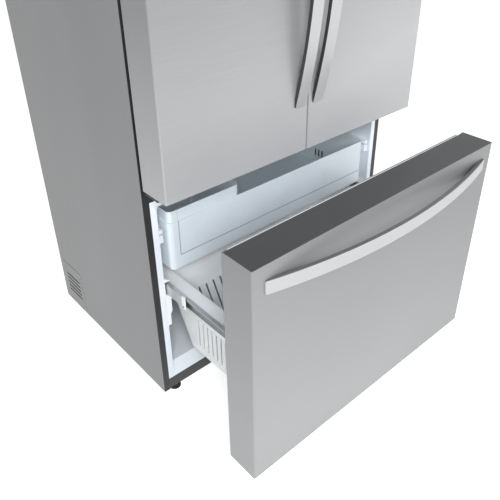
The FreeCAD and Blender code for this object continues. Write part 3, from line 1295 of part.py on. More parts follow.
# ---------------------------------------------------------------- refrigerator compartment
def pullBox(label, left, right, low, high):
    """Pull-out box with a finger lip along its front edge."""
    body = newBody(label)
    openBox(body, (left, "crisperFront", low), (right, "crisperBack", high), "4*binWall")
    lip = rectangle(left + " + 4*binWall", "crisperFront - gripDepth", right + " - 4*binWall",
                    "crisperFront + binWall/2")
    extrude(body, "XY_Plane", [lip], "binWall", start=high + " - binWall")
    edge = rectangle(left + " + 4*binWall", high + " - gripDepth", right + " - 4*binWall", high)
    extrude(body, "XZ_Plane", [edge], "binWall", start="-crisperFront + gripDepth - binWall")
    place(body)
    return body


def makeShelf(number, side, level):
    """Glass shelf in a rim, with two arms that hook on the tracks of the rear wall."""
    left = "(%s - shelfHalf)" % side
    right = "(%s + shelfHalf)" % side
    back = "(%s - ductDepth - slideGap)" % rearY
    hook = "(%s - trackDepth)" % rearY
    frame = newBody("shelfFrame%d" % number)
    outside = rectangle(left, "shelfFront", right, back)
    mouth = rectangle(left + " + frameWidth/2", "shelfFront + frameWidth/2", right + " - frameWidth/2",
                      back + " - frameWidth/2")
    window = rectangle(left + " + frameWidth", "shelfFront + frameWidth", right + " - frameWidth",
                       back + " - frameWidth")
    extrude(frame, "XY_Plane", [outside, mouth], "glassThick", start=level)
    extrude(frame, "XY_Plane", [outside, window], "frameHeight - glassThick",
            start=level + " - frameHeight + glassThick")
    under = level + " - frameHeight + glassThick"
    arm = [(back + " - armLength", under), (hook, under + " - armHeight"),
           (hook, under + " + armThick/2"), (back + " - armLength", under + " + armThick/2")]
    sign = side[0] if side[0] == "-" else ""
    for track in ("trackInner", "trackOuter"):
        extrude(frame, "YZ_Plane", [arm], "armThick", start="%s%s - armThick/2" % (sign, track))
    glass = newBody("shelfPane%d" % number)
    pane = rectangle(left + " + frameWidth/2 + slideGap", "shelfFront + frameWidth/2 + slideGap",
                     right + " - frameWidth/2 - slideGap", back + " - frameWidth/2 - slideGap")
    extrude(glass, "XY_Plane", [pane], "glassThick", start=level)
    return frame, glass


def makeFridgeInside():
    wide = "(%s - crisperSide - slideGap)" % wallX
    pullBox("pantry_drawer", "-" + wide, wide, fridgeBottom + " + slideGap", "pantryTop")
    crisper = pullBox("crisper_left", "-" + wide, "-crisperGap/2", "lowCover + glassThick + slideGap",
                      "crisperTop")
    placeTwin(crisper)
    covers = []
    for name, level in (("lowCoverGlass", "lowCover"), ("highCoverGlass", "highCover")):
        glass = newBody(name)
        sheet = rectangle("-(%s) + slideGap" % wallX, "crisperFront", wallX + " - slideGap", "crisperBack")
        extrude(glass, "XY_Plane", [sheet], "glassThick", start=level)
        covers.append(glass)
    place(group("drawer_covers", covers))
    frames = []
    panes = []
    shelves = [("-shelfCentre", "shelfLow"), ("-shelfCentre", "shelfHigh"), ("shelfCentre", "shelfLow"),
               ("shelfCentre", "shelfMid")]
    for number, (side, level) in enumerate(shelves):
        frame, glass = makeShelf(number, side, level)
        frames.append(frame)
        panes.append(glass)
    place(group("shelf_frames", frames))
    place(group("shelf_panes", panes))
    tracks = []
    for name in ("trackInner", "trackOuter"):
        track = newBody(name + "Left")
        strip = rectangle("-%s - trackWidth/2" % name, "trackLow", "-%s + trackWidth/2" % name, "trackHigh")
        extrude(track, "XZ_Plane", [strip], "trackDepth", start="-" + rearY)
        slot = rectangle("-%s - armThick" % name, "trackLow + trackSlotPitch/2", "-%s + armThick" % name,
                         "trackLow + trackSlotPitch")
        first = extrude(track, "XZ_Plane", [slot], "trackDepth/2",
                        start="-%s + trackDepth/2" % rearY, cut=True)
        repeat(track, first, "Z_Axis", "trackSlotPitch", "(trackHigh - trackLow)/trackSlotPitch - 1")
        tracks += [track, mirrored(track, name + "Right")]
    place(group("shelf_tracks", tracks))
    duct = newBody("air_duct")
    box = rectangle("-ductHalf", "ductLow", "ductHalf", "ductHigh")
    extrude(duct, "XZ_Plane", [box], "ductDepth", start="-" + rearY)
    front = size("caseDepth") - size("rearWall")
    hollow(duct, "binWall", lambda centre, normal: abs(centre.y - front) < 1e-3)
    for side in ("-", "+"):
        vent = rectangle("%sductHalf/2 - ductHalf/4" % side, "ductLow + ductVentPitch/2",
                         "%sductHalf/2 + ductHalf/4" % side, "ductLow + ductVentPitch/2 + ductDepth")
        outlet = extrude(duct, "XZ_Plane", [vent], "2*binWall",
                         start="-%s + ductDepth - binWall" % rearY, cut=True)
        repeat(duct, outlet, "Z_Axis", "ductVentPitch", "ductVents")
    place(duct)


# ---------------------------------------------------------------- feet and rollers
def makeFeet():
    leg = newBody("levelling_leg_left")
    extrude(leg, "XY_Plane", [("0", "0", "footRadius")], "footHeight")
    extrude(leg, "XY_Plane", [("0", "0", "stemRadius")], "stemTop - footHeight", start="footHeight")
    place(leg, at=("-caseWidth/2 + footInset", "footBack", "0"))
    placeTwin(leg)
    roller = newBody("rear_roller_left")
    extrude(roller, "YZ_Plane", [("0", "0", "rollerRadius"), ("0", "0", "axleRadius + turnGap")],
            "rollerWidth", both=True)
    place(roller, at=("-caseWidth/2 + footInset", "rollerBack", "rollerRadius"))
    placeTwin(roller)


makeOuterCase()
makeBackPanel()
makeRearCover()
makeBaseFrame()
makeSill()
makeCrossbar()
makeFreezerLiner()
makeFridgeLiner()
makeInsulation()
makeDoor()
makeHinges()
makeDrawerFront()
makeSlides()
makeRacks()
makeSyncBar()
makeBasket()
makeTray()
makeAirSystem()
makeCompressor()
makeFridgeInside()
makeFeet()

doc.recompute()
for item in doc.Objects:
    if "Invalid" in item.State or "Error" in item.State:
        raise RuntimeError(item.Label + " did not build")
os.makedirs("parts", exist_ok=True)
for piece in placedPieces:
    if piece.Shape.isNull() or not piece.Shape.isValid():
        raise RuntimeError(piece.Label + " has no valid shape")
    piece.Shape.exportStep("parts/%s.step" % piece.Label)
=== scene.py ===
import bpy
import math
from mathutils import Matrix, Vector


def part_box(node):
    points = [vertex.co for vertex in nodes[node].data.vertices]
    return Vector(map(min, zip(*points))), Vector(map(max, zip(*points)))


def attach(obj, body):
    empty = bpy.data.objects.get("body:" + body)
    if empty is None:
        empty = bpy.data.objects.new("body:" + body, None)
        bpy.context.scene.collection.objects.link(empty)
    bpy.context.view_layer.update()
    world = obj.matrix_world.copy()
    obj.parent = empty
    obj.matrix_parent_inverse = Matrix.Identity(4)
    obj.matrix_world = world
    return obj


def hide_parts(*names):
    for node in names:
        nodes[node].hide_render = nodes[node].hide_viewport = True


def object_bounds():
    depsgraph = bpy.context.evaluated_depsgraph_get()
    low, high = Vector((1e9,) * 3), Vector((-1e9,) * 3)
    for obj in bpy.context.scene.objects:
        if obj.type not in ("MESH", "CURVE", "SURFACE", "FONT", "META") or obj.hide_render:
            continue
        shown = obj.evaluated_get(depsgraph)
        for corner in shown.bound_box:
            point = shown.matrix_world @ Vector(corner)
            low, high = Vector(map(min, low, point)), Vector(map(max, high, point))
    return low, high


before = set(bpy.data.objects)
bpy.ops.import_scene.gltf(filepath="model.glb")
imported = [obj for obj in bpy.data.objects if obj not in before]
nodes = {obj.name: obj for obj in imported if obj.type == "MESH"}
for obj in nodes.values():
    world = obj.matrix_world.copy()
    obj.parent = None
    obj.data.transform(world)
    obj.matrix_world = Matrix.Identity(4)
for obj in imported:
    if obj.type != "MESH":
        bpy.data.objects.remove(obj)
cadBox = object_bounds()
print("frame loaded:", len(nodes), "nodes")


# ---- camera, light and floor
view = {
    "place": (-1.0785, -1.21025, 1.4185),    # metres, solved from the edges of the case and doors
    "turn": -42.205,    # degrees about Z
    "down": 31.157,     # degrees below the horizon
    "lens": 43.611,
    "shiftX": -0.0309,
    "shiftY": -0.0823,
}


def makeCamera(v):
    cameraData = bpy.data.cameras.new("photoCamera")
    cameraData.lens = v["lens"]
    cameraData.sensor_width = 36
    cameraData.shift_x = v["shiftX"]
    cameraData.shift_y = v["shiftY"]
    cameraData.clip_start = 0.05
    camera = bpy.data.objects.new("photoCamera", cameraData)
    bpy.context.scene.collection.objects.link(camera)
    camera.location = v["place"]
    camera.rotation_euler = (math.radians(90 - v["down"]), 0, math.radians(v["turn"]))
    bpy.context.scene.camera = camera


studio = {
    "floorSize": 14,
    "floorColour": (0.9, 0.9, 0.9, 1),
    "floorGlow": 0.62,     # only what the camera and reflections see
    "ambient": 0.78,       # world light on the object
    "darkSide": 0.72,      # world towards -X against the rest
    "darkTop": 0.4,        # world overhead against the horizon
    "lamps": [             # name, place, size, watts
        ("keyLamp", (2.3, -4.4, 1.7), 2.6, 55),
        ("fillLamp", (-2.0, -2.9, 2.7), 1.6, 110),
    ],
}


def makeLamp(name, place, size, watts):
    lampData = bpy.data.lights.new(name, "AREA")
    lampData.shape = "DISK"
    lampData.size = size
    lampData.energy = watts
    lamp = bpy.data.objects.new(name, lampData)
    bpy.context.scene.collection.objects.link(lamp)
    lamp.location = place
    aim = Vector((0, -0.2, 0.6)) - Vector(place)
    lamp.rotation_euler = aim.to_track_quat("-Z", "Y").to_euler()


def makeWorld(s):
    world = bpy.data.worlds.new("studioWorld")
    bpy.context.scene.world = world
    world.use_nodes = True
    tree = world.node_tree
    back = tree.nodes["Background"]
    path = tree.nodes.new("ShaderNodeLightPath")
    place = tree.nodes.new("ShaderNodeTexCoord")
    split = tree.nodes.new("ShaderNodeSeparateXYZ")
    side = tree.nodes.new("ShaderNodeMapRange")    # darker towards -X
    side.inputs["From Min"].default_value = -0.9
    side.inputs["From Max"].default_value = 0.1
    side.inputs["To Min"].default_value = s["darkSide"]
    side.inputs["To Max"].default_value = 1
    tree.links.new(place.outputs["Generated"], split.inputs[0])
    tree.links.new(split.outputs["X"], side.inputs["Value"])
    top = tree.nodes.new("ShaderNodeMapRange")    # and overhead
    top.inputs["From Min"].default_value = 0.1
    top.inputs["From Max"].default_value = 0.9
    top.inputs["To Min"].default_value = s["ambient"]
    top.inputs["To Max"].default_value = s["ambient"] * s["darkTop"]
    tree.links.new(split.outputs["Z"], top.inputs["Value"])
    lit = tree.nodes.new("ShaderNodeMath")
    lit.operation = "MULTIPLY"
    tree.links.new(top.outputs[0], lit.inputs[1])
    tree.links.new(side.outputs[0], lit.inputs[0])
    shine = tree.nodes.new("ShaderNodeMath")    # glossy and see-through rays meet the bright studio
    shine.operation = "MAXIMUM"
    tree.links.new(path.outputs["Is Glossy Ray"], shine.inputs[0])
    tree.links.new(path.outputs["Is Transmission Ray"], shine.inputs[1])
    seen = tree.nodes.new("ShaderNodeMix")
    tree.links.new(shine.outputs[0], seen.inputs[0])
    tree.links.new(lit.outputs[0], seen.inputs[2])
    tree.links.new(side.outputs[0], seen.inputs[3])
    camera = tree.nodes.new("ShaderNodeMix")
    tree.links.new(path.outputs["Is Camera Ray"], camera.inputs[0])
    tree.links.new(seen.outputs[0], camera.inputs[2])
    camera.inputs[3].default_value = 1
    tree.links.new(camera.outputs[0], back.inputs["Strength"])
    back.inputs["Color"].default_value = (1, 1, 1, 1)


def makeFloor(s):
    bpy.ops.object.select_all(action="DESELECT")
    bpy.ops.mesh.primitive_plane_add(size=s["floorSize"], location=(0, 0, 0))
    floor = bpy.context.object
    floor.name = "studioFloor"
    material, tree, shader = newMaterial("studioFloor")
    shader.inputs["Base Color"].default_value = s["floorColour"]
    shader.inputs["Roughness"].default_value = 0.9
    shader.inputs["Specular IOR Level"].default_value = 0.1
    path = tree.nodes.new("ShaderNodeLightPath")
    seen = tree.nodes.new("ShaderNodeMath")
    seen.operation = "MAXIMUM"
    tree.links.new(path.outputs["Is Camera Ray"], seen.inputs[0])
    tree.links.new(path.outputs["Is Glossy Ray"], seen.inputs[1])
    glow = tree.nodes.new("ShaderNodeMath")
    glow.operation = "MULTIPLY"
    glow.inputs[1].default_value = s["floorGlow"]
    tree.links.new(seen.outputs[0], glow.inputs[0])
    shader.inputs["Emission Color"].default_value = (1, 1, 1, 1)
    tree.links.new(glow.outputs[0], shader.inputs["Emission Strength"])
    floor.data.materials.append(material)


# ---- materials
def newMaterial(name):
    material = bpy.data.materials.new(name)
    material.use_nodes = True
    tree = material.node_tree
    return material, tree, tree.nodes["Principled BSDF"]


def placeNodes(tree, scale, spin=(0, 0, 0)):
    # object coordinates, stretched and turned
    place = tree.nodes.new("ShaderNodeTexCoord")
    mapping = tree.nodes.new("ShaderNodeMapping")
    mapping.inputs["Scale"].default_value = scale
    mapping.inputs["Rotation"].default_value = spin
    tree.links.new(place.outputs["Object"], mapping.inputs["Vector"])
    return mapping.outputs["Vector"]


def mathNode(tree, operation, *values):
    node = tree.nodes.new("ShaderNodeMath")
    node.operation = operation
    for socket, value in zip(node.inputs, values):
        if isinstance(value, (int, float)):
            socket.default_value = value
        else:
            tree.links.new(value, socket)
    return node.outputs[0]


def splitNode(tree, source="Object"):
    place = tree.nodes.new("ShaderNodeTexCoord")
    split = tree.nodes.new("ShaderNodeSeparateXYZ")
    tree.links.new(place.outputs[source], split.inputs[0])
    return split.outputs


def noiseNode(tree, vector, scale, detail=4, rough=0.5):
    noise = tree.nodes.new("ShaderNodeTexNoise")
    noise.inputs["Scale"].default_value = scale
    noise.inputs["Detail"].default_value = detail
    noise.inputs["Roughness"].default_value = rough
    tree.links.new(vector, noise.inputs["Vector"])
    return noise.outputs["Fac"]


def rangeNode(tree, value, low, high, fromLow=0.3, fromHigh=0.7):
    spread = tree.nodes.new("ShaderNodeMapRange")
    spread.inputs["From Min"].default_value = fromLow
    spread.inputs["From Max"].default_value = fromHigh
    spread.inputs["To Min"].default_value = low
    spread.inputs["To Max"].default_value = high
    tree.links.new(value, spread.inputs["Value"])
    return spread.outputs[0]


def blendNode(tree, factor, first, second):
    mix = tree.nodes.new("ShaderNodeMix")
    mix.data_type = "RGBA"
    tree.links.new(factor, mix.inputs["Factor"])
    for socket, colour in ((mix.inputs[6], first), (mix.inputs[7], second)):
        if isinstance(colour, tuple):
            socket.default_value = (*colour, 1)
        else:
            tree.links.new(colour, socket)
    return mix.outputs[2]


def bumpNode(tree, shader, height, strength, distance):
    bump = tree.nodes.new("ShaderNodeBump")
    bump.inputs["Strength"].default_value = strength
    bump.inputs["Distance"].default_value = distance
    tree.links.new(height, bump.inputs["Height"])
    tree.links.new(bump.outputs["Normal"], shader.inputs["Normal"])


def paintedSheenNode(tree, s):
    # painted sheen: a gradient of light and shade painted into the colour, darker up the sheet and lighter
    # down it, leaning across it
    part = splitNode(tree)
    down = mathNode(tree, "MULTIPLY", part["Z"], -1)
    along = mathNode(tree, "MULTIPLY_ADD", part["X"], s["lean"], down)
    return rangeNode(tree, along, s["top"], s["bottom"], s["from"], s["to"])


def shadedSideNode(tree, axis, start=0.55, end=0.8):
    # 1 on faces that look along an axis: the mask of painted shade on those faces
    size = mathNode(tree, "ABSOLUTE", splitNode(tree, "Normal")[axis])
    return rangeNode(tree, size, 0, 1, start, end)


def brushedSteel(name, dark, light, along, rough, metal=1.0, cloud=0.06, paintedSheen=None, sides=None):
    # fine hairlines along one axis, with broad soft clouds as on a rolled sheet
    material, tree, shader = newMaterial(name)
    stretch = [900, 900, 900]
    stretch["xyz".index(along)] = 6
    lines = noiseNode(tree, placeNodes(tree, stretch), 1, 3, 0.6)
    broad = noiseNode(tree, placeNodes(tree, (1.6, 1.6, 1.1)), 1, 2, 0.4)
    hair = blendNode(tree, rangeNode(tree, lines, 0, 1), dark, light)
    mix = tree.nodes.new("ShaderNodeMix")
    mix.data_type = "RGBA"
    mix.blend_type = "MULTIPLY"
    mix.inputs["Factor"].default_value = 1
    tree.links.new(hair, mix.inputs[6])
    tone = tree.nodes.new("ShaderNodeCombineColor")
    level = rangeNode(tree, broad, 1 - cloud, 1)
    # painted sheen: the tone is multiplied by a painted gradient of light and shade
    if paintedSheen:
        level = mathNode(tree, "MULTIPLY", level, paintedSheenNode(tree, paintedSheen))
    for channel in ("Red", "Green", "Blue"):
        tree.links.new(level, tone.inputs[channel])
    tree.links.new(tone.outputs[0], mix.inputs[7])
    colour = mix.outputs[2]
    # faces along the given axis take the given dark colour: painted shade
    if sides:
        colour = blendNode(tree, shadedSideNode(tree, sides[0]), colour, sides[1])
    tree.links.new(colour, shader.inputs["Base Color"])
    shader.inputs["Metallic"].default_value = metal
    shader.inputs["Anisotropic"].default_value = 0.4
    tree.links.new(rangeNode(tree, lines, rough - 0.05, rough + 0.07), shader.inputs["Roughness"])
    bumpNode(tree, shader, lines, 0.06, 0.0002)
    return material


def plastic(name, colour, rough, grain=900, depth=0.08, shade=0.05, clear=0.0, coat=0.0):
    # moulded plastic: fine grain in its bump, slight change of colour; clear lets light through
    material, tree, shader = newMaterial(name)
    fine = noiseNode(tree, placeNodes(tree, (1, 1, 1)), grain, 3, 0.5)
    broad = noiseNode(tree, placeNodes(tree, (1, 1, 1)), 5, 2, 0.5)
    darker = tuple(part * (1 - shade) for part in colour)
    tree.links.new(blendNode(tree, rangeNode(tree, broad, 0, 1), darker, colour),
                   shader.inputs["Base Color"])
    tree.links.new(rangeNode(tree, fine, rough - 0.04, rough + 0.05), shader.inputs["Roughness"])
    shader.inputs["Transmission Weight"].default_value = clear
    shader.inputs["Coat Weight"].default_value = coat
    bumpNode(tree, shader, fine, depth, 0.0002)
    return material


def casePaint(name, colour, rim, inside, rough, metal):
    # coil-coated side walls and roof, a darker front rim, and painted shade inside: the inner faces near
    # black
    material, tree, shader, coat = paintedSteel(name, colour, rough, metal)
    part = splitNode(tree)
    low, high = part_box("outer_case")
    near, far = 0.0009, 0.0011    # the colour changes within the sheet's thickness
    inward = mathNode(tree, "ABSOLUTE", part["X"])
    deep = rangeNode(tree, inward, 1, 0, cadBox[1][0] - far, cadBox[1][0] - near)
    roof = rangeNode(tree, part["Z"], 1, 0, high[2] - far, high[2] - near)
    front = rangeNode(tree, part["Y"], 1, 0, low[1] + near, low[1] + far)
    # inside the sheet's outer faces the colour turns near black: painted shade
    tone = blendNode(tree, mathNode(tree, "MULTIPLY", deep, roof), coat, inside)
    tree.links.new(blendNode(tree, front, tone, rim), shader.inputs["Base Color"])
    return material


def paintedSteel(name, colour, rough, metal):
    # smooth coil coating with a very fine peel and a faint flow from top to bottom
    material, tree, shader = newMaterial(name)
    peel = noiseNode(tree, placeNodes(tree, (1, 1, 1)), 420, 3, 0.55)
    flow = noiseNode(tree, placeNodes(tree, (3, 3, 0.8)), 1, 2, 0.4)
    darker = tuple(part * 0.9 for part in colour)
    coat = blendNode(tree, rangeNode(tree, flow, 0, 1), darker, colour)
    tree.links.new(coat, shader.inputs["Base Color"])
    shader.inputs["Metallic"].default_value = metal
    tree.links.new(rangeNode(tree, peel, rough - 0.04, rough + 0.05), shader.inputs["Roughness"])
    bumpNode(tree, shader, peel, 0.05, 0.0003)
    return material, tree, shader, coat


trayStepShade = {
    "level": 0.474,       # height of a painted shade line at the moulded step along the tray's front
    "upright": -0.355,    # and up its left end
    "half": 0.0014,       # of the line's width
    "fade": 0.001,
    "front": (0.002, 0.003),    # how deep the front's colour goes
    "inner": (0.004, 0.006),    # where the inside painted paler as painted light starts
}


def trayPlastic(name, colour, line, inside, rough):
    # smooth moulded sheet; painted shade as a darker line at the step of its front, and its inside painted
    # paler as painted light
    material, tree, shader = newMaterial(name)
    part = splitNode(tree)
    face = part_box("freezer_tray")[0][1]
    level, upright, fade = trayStepShade["level"], trayStepShade["upright"], trayStepShade["fade"]
    # masks of the painted shade line, along the front and up its left end
    along = mathNode(tree, "MULTIPLY", mathNode(tree, "COMPARE", part["Z"], level, trayStepShade["half"]),
                     rangeNode(tree, part["X"], 0, 1, upright - fade, upright))
    up = mathNode(tree, "MULTIPLY", mathNode(tree, "COMPARE", part["X"], upright, trayStepShade["half"]),
                  rangeNode(tree, part["Z"], 0, 1, level - fade, level))
    front = rangeNode(tree, part["Y"], 1, 0, *(face + depth for depth in trayStepShade["front"]))
    step = mathNode(tree, "MULTIPLY", mathNode(tree, "MAXIMUM", along, up), front)
    mist = noiseNode(tree, placeNodes(tree, (1, 1, 1)), 6, 2, 0.5)
    darker = tuple(channel * 0.93 for channel in colour)
    body = blendNode(tree, rangeNode(tree, mist, 0, 1), darker, colour)
    # behind the front face the colour turns paler: painted light
    within = rangeNode(tree, part["Y"], 0, 1, *(face + depth for depth in trayStepShade["inner"]))
    body = blendNode(tree, within, body, inside)
    tree.links.new(blendNode(tree, step, body, line), shader.inputs["Base Color"])
    fine = noiseNode(tree, placeNodes(tree, (1, 1, 1)), 120, 2, 0.5)
    tree.links.new(rangeNode(tree, fine, rough - 0.03, rough + 0.04), shader.inputs["Roughness"])
    shader.inputs["Coat Weight"].default_value = 0.15
    return material


# painted sheen of the doors and the drawer front: light and shade painted into the steel's colour
doorPaintedSheen = {"lean": 0.35, "from": -1.3, "to": -0.8, "top": 0.7, "bottom": 1.25}
drawerPaintedSheen = {"lean": -0.3, "from": -0.65, "to": -0.05, "top": 0.76, "bottom": 1.08}
finishes = {
    "doorSteel": brushedSteel("doorSteel", (0.36, 0.364, 0.372), (0.4, 0.404, 0.412), "x", 0.42, 0.18,
                              paintedSheen=doorPaintedSheen),
    # the drawer front's steel is the door steel painted darker: painted shade
    "shadedDrawerSteel": brushedSteel("shadedDrawerSteel", (0.315, 0.319, 0.326), (0.345, 0.349, 0.356), "x", 0.42,
                                0.18, paintedSheen=drawerPaintedSheen),
    # painted shade: the door handles' sides and the drawer bar's top and underside are given a dark colour
    "handleSteel": brushedSteel("handleSteel", (0.5, 0.505, 0.51), (0.53, 0.535, 0.54), "z", 0.36, 0.4,
                                sides=("X", (0.06, 0.061, 0.063))),
    "barSteel": brushedSteel("barSteel", (0.46, 0.465, 0.47), (0.49, 0.495, 0.5), "x", 0.36, 0.4,
                             sides=("Z", (0.16, 0.162, 0.165))),
    # the last colour is the painted shade on the case's inner faces
    "casePaint": casePaint("casePaint", (0.255, 0.258, 0.263), (0.034, 0.035, 0.037), (0.02, 0.02, 0.022),
                           0.42, 0.3),
    "rimPaint": paintedSteel("rimPaint", (0.045, 0.046, 0.048), 0.4, 0.2)[0],
    "galvanised": brushedSteel("galvanised", (0.4, 0.41, 0.42), (0.62, 0.63, 0.64), "z", 0.5, 1.0, 0.2),
    "railSteel": brushedSteel("railSteel", (0.55, 0.56, 0.57), (0.68, 0.69, 0.7), "y", 0.34),
    "liner": plastic("liner", (0.86, 0.915, 0.975), 0.32, 500, 0.03, 0.03),
    "capPlastic": plastic("capPlastic", (0.06, 0.062, 0.066), 0.5, 1400, 0.2, 0.1),
    "darkPlastic": plastic("darkPlastic", (0.03, 0.03, 0.032), 0.5, 1400, 0.2, 0.15),
    "whitePlastic": plastic("whitePlastic", (0.95, 0.97, 0.985), 0.35, 700, 0.05, 0.04),
    "clearPlastic": plastic("clearPlastic", (0.86, 0.92, 0.96), 0.16, 40, 0.0, 0.02, 0.7),
    # the second colour is the painted shade line at the tray's step, the third its inside painted paler as
    # painted light
    "frostedPlastic": trayPlastic("frostedPlastic", (0.74, 0.81, 0.87), (0.36, 0.41, 0.46),
                                  (0.86, 0.95, 1.0), 0.3),
    "coverPlastic": plastic("coverPlastic", (0.72, 0.85, 1.0), 0.4, 500, 0.03, 0.03),
    "shelfGlass": plastic("shelfGlass", (0.85, 0.95, 0.93), 0.05, 30, 0.0, 0.01, 0.9),
    "seal": plastic("seal", (0.42, 0.43, 0.44), 0.6, 900, 0.15, 0.1),
    "footRubber": plastic("footRubber", (0.02, 0.02, 0.02), 0.6, 1500, 0.3, 0.2),
    "foam": plastic("foam", (0.75, 0.66, 0.42), 0.8, 260, 0.5, 0.2),
    "blackPaint": paintedSteel("blackPaint", (0.02, 0.02, 0.022), 0.35, 0.0)[0],
    "finAluminium": brushedSteel("finAluminium", (0.6, 0.61, 0.62), (0.75, 0.76, 0.77), "z", 0.35),
}
nodeFinish = {
    "outer_case": "casePaint", "back_panel": "galvanised", "rear_cover": "galvanised",
    "base_frame": "galvanised", "front_sill": "rimPaint", "crossbar": "rimPaint",
    "freezer_liner": "liner", "fridge_liner": "liner", "cabinet_insulation": "foam",
    # the centre hinges are painted black as painted shade under the doors
    "top_hinges": "galvanised", "hinge_covers": "capPlastic", "centre_hinges": "blackPaint",
    "slide_housings": "whitePlastic", "fixed_rails": "railSteel", "gear_racks": "whitePlastic",
    "evaporator_cover": "coverPlastic", "evaporator": "finAluminium", "compressor": "blackPaint",
    "condenser_coil": "blackPaint", "drain_pan": "darkPlastic", "fan_motors": "darkPlastic",
    "air_duct": "whitePlastic", "shelf_tracks": "railSteel", "shelf_panes": "shelfGlass",
    "shelf_frames": "whitePlastic", "drawer_covers": "shelfGlass", "crisper_left": "clearPlastic",
    "crisper_right": "clearPlastic", "pantry_drawer": "clearPlastic",
    "levelling_leg_left": "footRubber", "levelling_leg_right": "footRubber",
    "rear_roller_left": "darkPlastic", "rear_roller_right": "darkPlastic",
    # the mullion flap is given dark plastic as painted shade, so the gap between the doors reads dark
    "middle_rail_left": "railSteel", "middle_rail_right": "railSteel", "mullion_flap": "darkPlastic",
    "drawer_skin": "shadedDrawerSteel", "drawer_caps": "capPlastic", "drawer_liner": "liner",
    "drawer_gasket": "seal", "drawer_handle": "barSteel", "drawer_rails": "railSteel",
    "freezer_basket": "whitePlastic", "sync_bar": "railSteel", "freezer_tray": "frostedPlastic",
    "tray_bin": "frostedPlastic", "evaporator_fan": "whitePlastic", "condenser_fan": "darkPlastic",
}
for side in ("left", "right"):
    nodeFinish[side + "_door_skin"] = "doorSteel"
    nodeFinish[side + "_door_caps"] = "capPlastic"
    nodeFinish[side + "_door_liner"] = "liner"
    nodeFinish[side + "_door_gasket"] = "seal"
    nodeFinish[side + "_door_handle"] = "handleSteel"
    nodeFinish[side + "_door_bins"] = "clearPlastic"


def dress():
    for name, piece in nodes.items():
        piece.data.materials.clear()
        piece.data.materials.append(finishes[nodeFinish[name]])


# ---- modelling helpers
def deselectAll():
    if bpy.context.object and bpy.context.object.mode != "OBJECT":
        bpy.ops.object.mode_set(mode="OBJECT")
    bpy.ops.object.select_all(action="DESELECT")


def applyPlace(piece):
    bpy.ops.object.mode_set(mode="OBJECT")
    bpy.ops.object.transform_apply(location=True, rotation=True, scale=True)


def startBox(name, low, high):
    deselectAll()
    middle = [(a + b) / 2 for a, b in zip(low, high)]
    bpy.ops.mesh.primitive_cube_add(size=1, location=middle)
    piece = bpy.context.object
    piece.name = name
    piece.scale = [b - a for a, b in zip(low, high)]
    applyPlace(piece)
    return piece


def startRound(name, place, radius, depth, axis="z", sides=32):
    deselectAll()
    turn = {"x": (0, math.pi / 2, 0), "y": (math.pi / 2, 0, 0), "z": (0, 0, 0)}[axis]
    bpy.ops.mesh.primitive_cylinder_add(vertices=sides, radius=radius, depth=depth, location=place,
                                        rotation=turn)
    piece = bpy.context.object
    piece.name = name
    applyPlace(piece)
    return piece


def pick(piece, kind, test):
    # selects faces or edges by their middle and their normal or direction, then goes to edit mode
    bpy.ops.object.mode_set(mode="OBJECT")
    mesh = piece.data
    for group in (mesh.vertices, mesh.edges, mesh.polygons):
        group.foreach_set("select", [False] * len(group))
    if kind == "FACE":
        for face in mesh.polygons:
            face.select = test(face.center, face.normal)
    else:
        for edge in mesh.edges:
            first, second = (mesh.vertices[number].co for number in edge.vertices)
            edge.select = test((first + second) / 2, (second - first).normalized())
    bpy.context.tool_settings.mesh_select_mode = (False, kind == "EDGE", kind == "FACE")
    bpy.ops.object.mode_set(mode="EDIT")


def roundOff(piece, width, segments=2, angle=40):
    bpy.ops.object.mode_set(mode="OBJECT")
    bevel = piece.modifiers.new("edges", "BEVEL")
    bevel.width = width
    bevel.segments = segments
    bevel.limit_method = "ANGLE"
    bevel.angle_limit = math.radians(angle)
    bpy.ops.object.modifier_apply(modifier=bevel.name)


def cutAway(piece, tool):
    # takes one box or cylinder out of a piece
    deselectAll()
    bpy.context.view_layer.objects.active = piece
    piece.select_set(True)
    cut = piece.modifiers.new("room", "BOOLEAN")
    cut.operation = "DIFFERENCE"
    cut.solver = "EXACT"
    cut.object = tool
    bpy.ops.object.modifier_apply(modifier=cut.name)
    bpy.data.objects.remove(tool)


def finishPiece(piece, finish, body, replaced=()):
    bpy.ops.object.mode_set(mode="OBJECT")
    piece.data.materials.clear()
    piece.data.materials.append(finishes[finish])
    bpy.ops.object.shade_smooth_by_angle(angle=math.radians(35))
    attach(piece, body)
    if replaced:
        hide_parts(*replaced)


def copyPiece(piece, name, shift=(0, 0, 0), flip=False):
    # a second one with its own mesh, moved or mirrored across the middle
    deselectAll()
    twin = piece.copy()
    twin.data = piece.data.copy()
    twin.name = name
    twin.parent = None
    bpy.context.scene.collection.objects.link(twin)
    bpy.context.view_layer.objects.active = twin
    twin.select_set(True)
    twin.location = shift
    if flip:
        twin.scale = (-1, 1, 1)
    applyPlace(twin)
    if flip:
        bpy.ops.object.mode_set(mode="EDIT")
        bpy.ops.mesh.select_all(action="SELECT")
        bpy.ops.mesh.normals_make_consistent(inside=False)
        bpy.ops.object.mode_set(mode="OBJECT")
    return twin


# ---- door and drawer seals: a soft frame with two grooves around it
seal = {
    "width": 0.021,
    "groove": 0.0025,    # depth of each
    "round": 0.0012,
}


